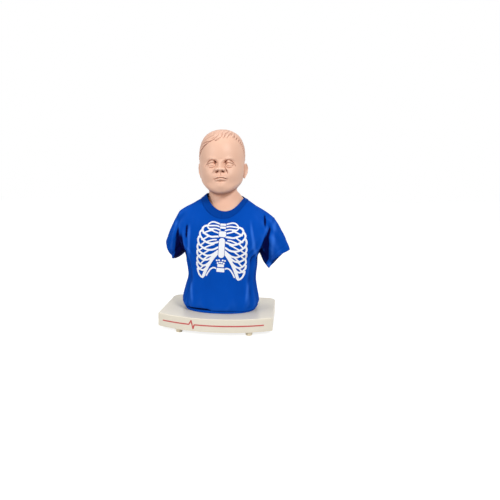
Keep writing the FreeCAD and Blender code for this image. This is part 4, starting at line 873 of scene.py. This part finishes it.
def uv_layout(mesh, across, along):
    """Lay cloth coordinates in metres on a mesh, one pair a point."""
    layer = mesh.uv_layers.new(name="cloth")
    corner_points = np.zeros(len(mesh.loops), np.int32)
    mesh.loops.foreach_get("vertex_index", corner_points)
    pairs = np.stack([across, along], axis=-1).reshape(-1, 2)[corner_points]
    layer.data.foreach_set("uv", pairs.reshape(-1).astype(np.float32))


def shirt_uv(piece):
    """Cloth coordinates from the angle round the body and the height."""
    places = np.array([vertex.co for vertex in piece.data.vertices])
    turn = np.arctan2(places[:, 0] - BODY[0] * MM, -(places[:, 1] - BODY[1] * MM))
    uv_layout(piece.data, turn * BODY_ROUND, places[:, 2])


def seam_place(points, side):
    """Distance beyond an armhole seam's plane and the height over its armpit."""
    middle, _, away = armhole_frame(side)
    return (points - middle) @ away, points[..., 2] - ARMPIT_HEIGHT[side]


def seam_sink(points, side):
    """How deep the body's cloth sinks along the front of an armhole seam, from 0 to 1."""
    apart, level = seam_place(points, side)
    front = 1 - ease(points[..., 1], -20.0, 25.0)
    beside = ease(apart + SEAM_EDGE[side], -3.0, 2.0) * (side * points[..., 0] > 0)
    return beside * front * plateau(level, *SINK_SPAN)


def sleeve_shadow(points, side):
    """Painted shadow in the pocket of cloth before the armpit, with a painted highlight on the ridge beside
    it.
    """
    apart, level = seam_place(points, side)
    edge = POCKET_REACH[side] * np.clip(1 - level / POCKET_HEIGHT[side], 0, 1.1)
    front = 1 - ease(points[..., 1], -16.0, 4.0)
    pocket = (1 - ease(apart - edge, -2.5, 4.0)) * ease(edge, 0.0, 5.0)
    # Painted shadow in the pocket, painted highlight on the ridge beside it
    return front * (ARMHOLE_PAINTED_SHADE * pocket - 2.0 * bump(apart - edge - POCKET_RIDGE, 5.0))


def crease_relief(points):
    """Height of the single creases and ridges on the shirt's front."""
    relief = np.zeros(points.shape[:-1])
    for x_high, z_high, x_low, z_low, width, height in CREASES:
        share = (z_high - points[..., 2]) / (z_high - z_low)
        apart = points[..., 0] - x_high - (x_low - x_high) * share
        relief += height * bump(apart, width) * plateau(share, -0.15, 0.25, 0.75, 1.15)
    return relief * (1 - ease(points[..., 1], -40.0, -10.0))


def shirt_grid():
    """Angles and steps of the shirt's points, closer together at the hem."""
    steps = [np.linspace(0, HEM_END_STEP, HEM_ROWS, endpoint=False),
             np.linspace(HEM_END_STEP, SEAM_STEP, SHIRT_ROWS - HEM_ROWS)]
    return grid(even(SHIRT_COLUMNS), np.concatenate(steps))


def make_shirt_body():
    """The body's cloth, open at its armholes, and the seams that the cuts leave."""
    angles, steps = shirt_grid()
    points = shirt_surface(angles, steps)
    away = outward(shirt_surface, angles, steps)
    fade = 1 - ease(steps, 15.0, 15.8)
    sunk = sum(seam_sink(points, side) for side in (-1, 1))
    creases = crease_relief(points)
    wrinkle = wrinkles(points, BODY_WRINKLES) * ease(points[..., 2], 20, 60) * fade
    points = points + away * (wrinkle + creases - ARMHOLE_SINK * sunk)[..., None]
    piece = add_piece("shirt_body_cloth", points, tube_faces(len(steps), SHIRT_COLUMNS), "shirt_body",
                      looks["shirt_blue"])
    # Painted shadow in the crease under the blouse's overhang at the hem
    blouse_painted_shadow = ARMHOLE_PAINTED_SHADE * plateau(signed(angles), *BLOUSE_SHADOW_SPAN) * bump(steps - BLOUSE_SHADOW_STEP, 0.7)
    # Painted shade in folds, dents and along the armhole seams, painted highlight on ridges
    painted_shade_depth = hollow_depth(points, away, HOLLOW_PASSES) - creases + ARMHOLE_PAINTED_SHADE * sunk + blouse_painted_shadow
    store_painted_light(piece, painted_shade_depth * fade)
    rings = cut_armholes(piece)
    shirt_uv(piece)
    return piece, rings


def cut_armholes(piece):
    """Cut the shirt's body along both armhole seams and return the seams by side."""
    cloth = bmesh.new()
    cloth.from_mesh(piece.data)
    rings = {}
    for side in (-1, 1):
        middle, upward, away = armhole_frame(side)
        low = armpit(side)
        geometry = {}
        for face in cloth.faces:
            centre = np.array(face.calc_center_median()) / MM - BODY
            if (centre - low) @ upward > 0 and side * centre[0] > 0:
                geometry.update(dict.fromkeys([face, *face.edges, *face.verts]))
        cut = bmesh.ops.bisect_plane(cloth, geom=list(geometry), plane_co=Vector((BODY + middle) * MM),
                                     plane_no=Vector(away), clear_outer=True)
        places = [np.array(item.co) / MM - BODY for item in cut["geom_cut"]
                  if isinstance(item, bmesh.types.BMVert)]
        rings[side] = ring_function(np.array(places), middle, upward, np.cross(away, upward))
    cloth.to_mesh(piece.data)
    cloth.free()
    return rings


def ring_function(places, middle, upward, across):
    """A closed seam as a function of the angle round its middle, 0 at the top."""
    turn = np.arctan2((places - middle) @ across, (places - middle) @ upward) % (2 * math.pi)
    order = np.argsort(turn)
    turn, places = turn[order], places[order]

    def ring(angle):
        angle = np.mod(angle, 2 * math.pi)
        columns = [np.interp(angle, turn, column, period=2 * math.pi) for column in places.T]
        return np.stack(columns, axis=-1)
    return ring


def hem_ring(side):
    """The sleeve's hem as a function of the angle round it, 0 on its outer top."""
    high, low = np.array(HEM_TOP[side]), np.array(HEM_LOW[side])
    middle, upward, away = ring_frame(low, high, side)
    half = np.linalg.norm(high - low) / 2
    across = np.cross(away, upward)

    def ring(angle):
        deep = across * (HEM_DEPTH[side] * power(np.sin(angle), HEM_SQUARE))[..., None]
        front = np.maximum(0, -deep[..., 1] / HEM_DEPTH[side])
        rise = HEM_FRONT_RISE[side] * front ** 2
        tall = upward * (half * power(np.cos(angle), HEM_SQUARE))[..., None]
        return middle + tall + deep - away * rise[..., None]
    return ring


def sleeve_surface(side, start):
    """The sleeve's cloth from its seam at step 0 to its hem at step 1."""
    end = hem_ring(side)
    place, deep = SLEEVE_HOLLOW[side]

    def surface(angle, step):
        here, there = start(angle), end(angle)
        centre = (here + there) / 2 - (start(angle + math.pi) + end(angle + math.pi)) / 2
        puff = SLEEVE_PUFF * np.sin(math.pi * np.clip(step, 0, 1))
        puff = puff + SLEEVE_WAVE * ease(step, 0.1, 0.9) * np.sin(5 * angle + side)
        points = here + (there - here) * step[..., None] + unit(centre) * puff[..., None]
        ahead = ease(-there[..., 1] / HEM_DEPTH[side], -0.3, 0.3) * 2 - 1
        apart = np.arccos(np.clip(np.cos(angle), -1, 1)) - place + 0.25 * (1 - step)
        hollow = deep * bump(apart, 0.50 - 0.16 * step) * (0.35 + 0.65 * ease(step, 0.0, 0.45))
        ridge = SLEEVE_RIDGE * bump(apart + RIDGE_ABOVE, 0.26) * ease(step, 0.05, 0.4)
        slit = SLEEVE_SLIT * bump(apart + SLIT_ABOVE, 0.13) * bump(step - SLIT_STEP, 0.22)
        inward = ahead * (hollow * (0.7 + 0.3 * ahead) - ridge + slit) * ease(step, 0.0, 0.07)
        return points + inward[..., None] * np.array([0.0, 1.0, 0.0])
    return surface


def make_sleeve(side, word):
    """One sleeve, sewn to its seam, with a stitched hem."""
    surface = sleeve_surface(side, seams[side])
    angles, steps = grid(even(SLEEVE_COLUMNS), np.linspace(0, 1, SLEEVE_ROWS))
    points = surface(angles, steps)
    away = outward(surface, angles, steps) * side
    hem = 0.5 * ease(steps, STITCH_STEP - 0.01, STITCH_STEP + 0.01) - 0.9 * bump(steps - STITCH_STEP, 0.012)
    wrinkle = wrinkles(points, SLEEVE_WRINKLES) * ease(steps, 0.0, 0.25)
    points = points + away * (wrinkle + hem)[..., None]
    piece = add_piece("sleeve_cloth_" + word, points, tube_faces(SLEEVE_ROWS, SLEEVE_COLUMNS),
                      "shirt_sleeve_" + word, looks["shirt_blue"])
    # Painted shade in the sleeve's folds and its pocket, painted highlight on its ridges
    store_painted_light(piece, hollow_depth(points, away, HOLLOW_PASSES) + sleeve_shadow(points, side))
    if side > 0:
        piece.data.flip_normals()
    uv_layout(piece.data, angles * SLEEVE_ROUND, steps * SLEEVE_LONG)
    return piece


def collar_surface(angle, step):
    """The rib band of the neck, from its seam at step 0 to the neckline at step 2."""
    half_way = between(np.array([SHIRT[-1], NECKLINE]), np.array(0.5))
    points = ring_point(between(np.array([SHIRT[-1], half_way, NECKLINE]), step), angle)
    return lowered(points, points[..., 0] * (SHIRT_ROLL + SHOULDER_ROLL + NECK_ROLL * step / 2))


def make_collar():
    """The rib band, led into the body's seam, with a groove beside it and a rounded neckline."""
    angles, steps = grid(even(COLLAR_COLUMNS), np.linspace(0, 2, COLLAR_ROWS))
    points = collar_surface(angles, steps)
    seam = shirt_surface(angles[0], np.full(COLLAR_COLUMNS, SEAM_STEP))
    share = (1 - ease(steps, 0, 0.5))[..., None]
    points = points * (1 - share) + (points + seam - points[0]) * share
    groove = 0.9 * bump(steps - 0.12, 0.1) - 1.6 * bump(steps, 0.05)
    roll = RIB_RAISE + groove - 1.8 * ease(steps, 1.86, 2.0)
    points = points + outward(collar_surface, angles, steps) * roll[..., None]
    piece = add_piece("shirt_collar_cloth", points, tube_faces(COLLAR_ROWS, COLLAR_COLUMNS), "shirt_collar",
                      looks["collar_blue"])
    uv_layout(piece.data, angles * NECK_ROUND, steps * BAND_LONG)
    return piece


shirt_piece, seams = make_shirt_body()
sleeve_pieces = [make_sleeve(-1, "left"), make_sleeve(1, "right")]
collar_piece = make_collar()
for cloth_piece in (shirt_piece, collar_piece, *sleeve_pieces):
    solid = cloth_piece.modifiers.new("thickness", "SOLIDIFY")
    solid.thickness = CLOTH * MM
    solid.offset = -1.0

# Rib cage print: across and up from its middle line and the top of the base
FRONT_RIBS = [
    [(10, 275), (18, 277.5), (28, 280), (38, 278), (46, 270), (45, 262), (34, 255), (12, 248)],
    [(48, 268), (57, 265), (62, 257), (58, 247), (48, 241), (34, 236), (22, 237), (9, 238)],
    [(64, 254), (69, 246), (68, 237), (60, 227), (50, 220), (38, 216), (27, 217), (10, 222)],
    [(71, 234), (74, 224), (70, 212), (61, 204), (51, 198), (38, 196), (25, 198), (10, 206)],
    [(73, 211), (75, 202), (70, 191), (58, 183), (45, 178), (32, 180), (22, 186), (11, 195)],
    [(75, 190), (74, 180), (68, 172), (56, 165), (44, 165), (34, 170), (22, 181)],
    [(73, 171), (74, 161), (65, 150), (55, 146), (44, 150), (31, 162)],
    [(75, 153), (73, 143), (64, 134), (54, 132), (42, 141)],
    [(72, 134), (69, 123), (63, 114), (54, 110), (49, 122)],
]
ARCH = [(11, 190), (24, 173), (32, 160), (41, 143), (48, 126), (52, 115)]
ARCH_WIDTH = 9.0
BREASTBONE = [(0, 225), (0, 200), (0, 183)]
BREASTBONE_WIDTH = 18
# Blocks of the middle line: place, half width, half height, corner
BLOCKS = [(0, 245.5, 11, 8.5, 4), (0, 137, 12, 6, 1.5), (0, 150.5, 10, 4.5, 1.5), (0, 265, 9, 3.2, 1.5),
          (0, 273.5, 9, 3.2, 1.5)]
SPINE_SPOTS = [(2.9, 160), (9.4, 158), (5.5, 167), (12.5, 166)]
SPOT = (2.8, 2.6, 2.4)
LOW_ARCH = [(10, 139), (20, 143), (30, 138), (37, 128), (43, 117)]
BACK_RIBS = [
    [(8, 266), (20, 269.5), (43, 268)], [(8, 257), (22, 260.5), (42, 259)],
    [(30, 257), (46, 251), (59, 245)],
    [(18, 228), (28, 227), (44, 221)], [(42, 237), (52, 230), (62, 225)], [(24, 214), (37, 209), (53, 201)],
    [(51, 221), (58, 214), (66, 207)], [(35, 197), (45, 190), (56, 182)], [(56, 202), (62, 197), (72, 191)],
    [(36, 180), (46, 172), (56, 164)], [(58, 184), (64, 178), (72, 172)], [(48, 166), (56, 158), (64, 149)],
    [(50, 148), (58, 141), (66, 132)],
]


def curve_through(points, count=28):
    """Points along a smooth line through a few places."""
    table = np.array(points, float)
    return between(table, np.linspace(0, len(table) - 1, count))


def distance_to_line(x, z, line):
    """How far places are from a line of points."""
    best = np.full(x.shape, 1e9)
    for (ax, az), (bx, bz) in zip(line[:-1], line[1:]):
        dx, dz = bx - ax, bz - az
        share = np.clip(((x - ax) * dx + (z - az) * dz) / max(dx * dx + dz * dz, 1e-9), 0, 1)
        best = np.minimum(best, np.hypot(x - ax - share * dx, z - az - share * dz))
    return best


def distance_to_block(x, z, place_x, place_z, half_x, half_z, corner):
    """How far places are outside a block with round corners."""
    across = np.maximum(np.abs(x - place_x) - half_x + corner, 0)
    upward = np.maximum(np.abs(z - place_z) - half_z + corner, 0)
    return np.hypot(across, upward) - corner


def rib_field(x, z):
    """Distance outside the printed shapes, below 0 on them. A thin gap parts ribs and middle."""
    strokes = [(line, RIB_WIDTH) for line in FRONT_RIBS[1:]]
    strokes += [(line, BACK_RIB_WIDTH) for line in BACK_RIBS + [FRONT_RIBS[0], LOW_ARCH]]
    strokes.append((ARCH, ARCH_WIDTH))
    ribs, middle = [], [distance_to_block(x, z, *block) for block in BLOCKS]
    middle.append(distance_to_line(x, z, curve_through(BREASTBONE)) - BREASTBONE_WIDTH / 2)
    for hand in (-1, 1):
        for line, width in strokes:
            ribs.append(distance_to_line(x, z, curve_through([(hand * a, b) for a, b in line])) - width / 2)
        for spot_x, spot_z in SPINE_SPOTS:
            middle.append(distance_to_block(x, z, hand * spot_x, spot_z, *SPOT))
    middle = np.min(middle, axis=0)
    return np.minimum(np.maximum(np.min(ribs, axis=0), PRINT_HALO - middle), middle)


def print_place(x, z, trees):
    """Where a point of the print lies, by a ray from the front."""
    high = z - PRINT_DROP - PRINT_MIDDLE_Z
    across = PRINT_X + x * math.cos(PRINT_TURN) + high * math.sin(PRINT_TURN)
    level = PRINT_MIDDLE_Z + high * math.cos(PRINT_TURN) - x * math.sin(PRINT_TURN)
    start = Vector(((BODY[0] + across) * MM, RAY_START, (BODY[2] + level) * MM))
    hits = [tree.ray_cast(start, Vector((0, 1, 0))) for tree in trees]
    places = [hit[0] + hit[1] * PRINT_LIFT * MM for hit in hits if hit[0] is not None]
    return np.array(min(places, key=lambda place: place.y)) / MM - BODY


def cell_outline(row, column, field, xs, zs):
    """The printed part of a grid cell, as corners and crossings with keys."""
    corners = [(row, column), (row, column + 1), (row + 1, column + 1), (row + 1, column)]
    outline = []
    for here, there in zip(corners, corners[1:] + corners[:1]):
        if field[here] < 0:
            outline.append((here, xs[here[1]], zs[here[0]]))
        if (field[here] < 0) != (field[there] < 0):
            share = field[here] / (field[here] - field[there])
            x = xs[here[1]] + share * (xs[there[1]] - xs[here[1]])
            z = zs[here[0]] + share * (zs[there[0]] - zs[here[0]])
            outline.append(((min(here, there), max(here, there)), x, z))
    return outline


def make_print():
    """The printed shapes, cut from a fine grid and laid on the shirt's front."""
    xs = np.arange(-PRINT_HALF, PRINT_HALF + PRINT_CELL / 2, PRINT_CELL)
    zs = np.arange(PRINT_LOW, PRINT_HIGH + PRINT_CELL / 2, PRINT_CELL)
    field = rib_field(*np.meshgrid(xs, zs))
    scene_now = bpy.context.evaluated_depsgraph_get()
    trees = [BVHTree.FromObject(piece, scene_now) for piece in (shirt_piece, collar_piece)]
    numbers, points, faces = {}, [], []
    for row in range(len(zs) - 1):
        for column in range(len(xs) - 1):
            outline = cell_outline(row, column, field, xs, zs)
            for key, x, z in outline:
                if key not in numbers:
                    numbers[key] = len(points)
                    points.append(print_place(x, z, trees))
            if len(outline) > 2:
                faces.append(tuple(numbers[key] for key, x, z in outline))
    add_piece("rib_print", np.array(points), faces, "shirt_print", looks["print_white"])


make_print()

# Materials of the CAD pieces that show
CAD_LOOKS = {
    "housing_cream": ["base_cover", "base_plate"],
    "trace_red": ["front_trace"],
    "torso_vinyl": ["torso_skin"],
    "foot_cream_painted_light": ["foot_front_left", "foot_front_right", "foot_rear_left", "foot_rear_right"],
}
for look, cad_nodes in CAD_LOOKS.items():
    for cad_node in cad_nodes:
        for cad_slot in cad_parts[cad_node].material_slots:
            cad_slot.material = looks[look]

# Floor, light and camera
FLOOR_REACH = 6.0
FLOOR_GLOW = 0.80
WHITE = (1, 1, 1, 1)
WORLD_LIGHT = 0.32
CAMERA_TARGET = Vector((-0.0156, 0.0202, 0.2905))
CAMERA_AZIMUTH = math.radians(8.509)
CAMERA_ELEVATION = math.radians(7.413)
CAMERA_DISTANCE = 1.5
CAMERA_LENS = 33.95
CAMERA_SENSOR = 36.0
CAMERA_SHIFT = (0.056, -0.036)

floor_mesh = bpy.data.meshes.new("floor")
floor_corners = [(x * FLOOR_REACH, y * FLOOR_REACH, 0) for x, y in ((-1, -1), (1, -1), (1, 1), (-1, 1))]
floor_mesh.from_pydata(floor_corners, [], [(0, 1, 2, 3)])
floor_piece = bpy.data.objects.new("floor", floor_mesh)
floor_mesh.materials.append(looks["floor_white"])
bpy.context.collection.objects.link(floor_piece)


def seen_as_white(tree, lit, seen, output):
    """Let the camera see a plain white, while the object gets the lit strength."""
    path = add_node(tree, "LightPath")
    share = path.outputs["Is Camera Ray"]
    for ray in ("Is Glossy Ray", "Is Transmission Ray"):
        either = add_node(tree, "Math")
        either.operation = "MAXIMUM"
        tree.links.new(share, either.inputs[0])
        tree.links.new(path.outputs[ray], either.inputs[1])
        share = either.outputs[0]
    mix = add_node(tree, "MixShader")
    for socket, source in zip(mix.inputs, (share, lit.outputs[0], seen.outputs[0])):
        tree.links.new(source, socket)
    tree.links.new(mix.outputs[0], output.inputs["Surface"])


world = bpy.data.worlds.new("studio")
world.use_nodes = True
world_tree = world.node_tree
lit_sky = world_tree.nodes["Background"]
set_inputs(world_tree, lit_sky, Color=WHITE, Strength=WORLD_LIGHT)
white_sky = add_node(world_tree, "Background", Color=WHITE, Strength=1.0)
seen_as_white(world_tree, lit_sky, white_sky, world_tree.nodes["World Output"])
bpy.context.scene.world = world

floor_tree = looks["floor_white"].node_tree
floor_plain = floor_tree.nodes["Principled BSDF"]
floor_glow = add_node(floor_tree, "Emission", Color=WHITE, Strength=FLOOR_GLOW)
floor_seen = add_node(floor_tree, "AddShader")
floor_tree.links.new(floor_plain.outputs[0], floor_seen.inputs[0])
floor_tree.links.new(floor_glow.outputs[0], floor_seen.inputs[1])
seen_as_white(floor_tree, floor_plain, floor_seen, floor_tree.nodes["Material Output"])

# Area lights: place, target, size and strength
LIGHTS = {
    "key": ((1.35, -1.55, 1.65), (0, 0, 0.33), 0.6, 33),
    "fill": ((-1.5, -1.5, 1.1), (0, 0, 0.3), 0.9, 19),
    "top": ((-0.1, 0.3, 2.3), (0, 0, 0.1), 1.0, 11),
}
for light_name, (place, target, size, strength) in LIGHTS.items():
    light = bpy.data.lights.new(light_name, "AREA")
    light.size = size
    light.energy = strength
    lamp = bpy.data.objects.new(light_name, light)
    lamp.location = place
    lamp.rotation_euler = (Vector(target) - Vector(place)).to_track_quat("-Z", "Y").to_euler()
    bpy.context.collection.objects.link(lamp)

camera_data = bpy.data.cameras.new("camera")
camera_data.sensor_width = CAMERA_SENSOR
camera_data.lens = CAMERA_LENS
camera_data.shift_x, camera_data.shift_y = CAMERA_SHIFT
camera = bpy.data.objects.new("camera", camera_data)
right = Vector((math.cos(CAMERA_AZIMUTH), math.sin(CAMERA_AZIMUTH), 0))
back = Vector((math.sin(CAMERA_AZIMUTH) * math.cos(CAMERA_ELEVATION),
               -math.cos(CAMERA_AZIMUTH) * math.cos(CAMERA_ELEVATION), math.sin(CAMERA_ELEVATION)))
axes = Matrix((right, back.cross(right), back)).transposed()
camera.matrix_world = Matrix.Translation(CAMERA_TARGET + back * CAMERA_DISTANCE) @ axes.to_4x4()
bpy.context.collection.objects.link(camera)
bpy.context.scene.camera = camera
bpy.context.scene.view_settings.view_transform = "Standard"
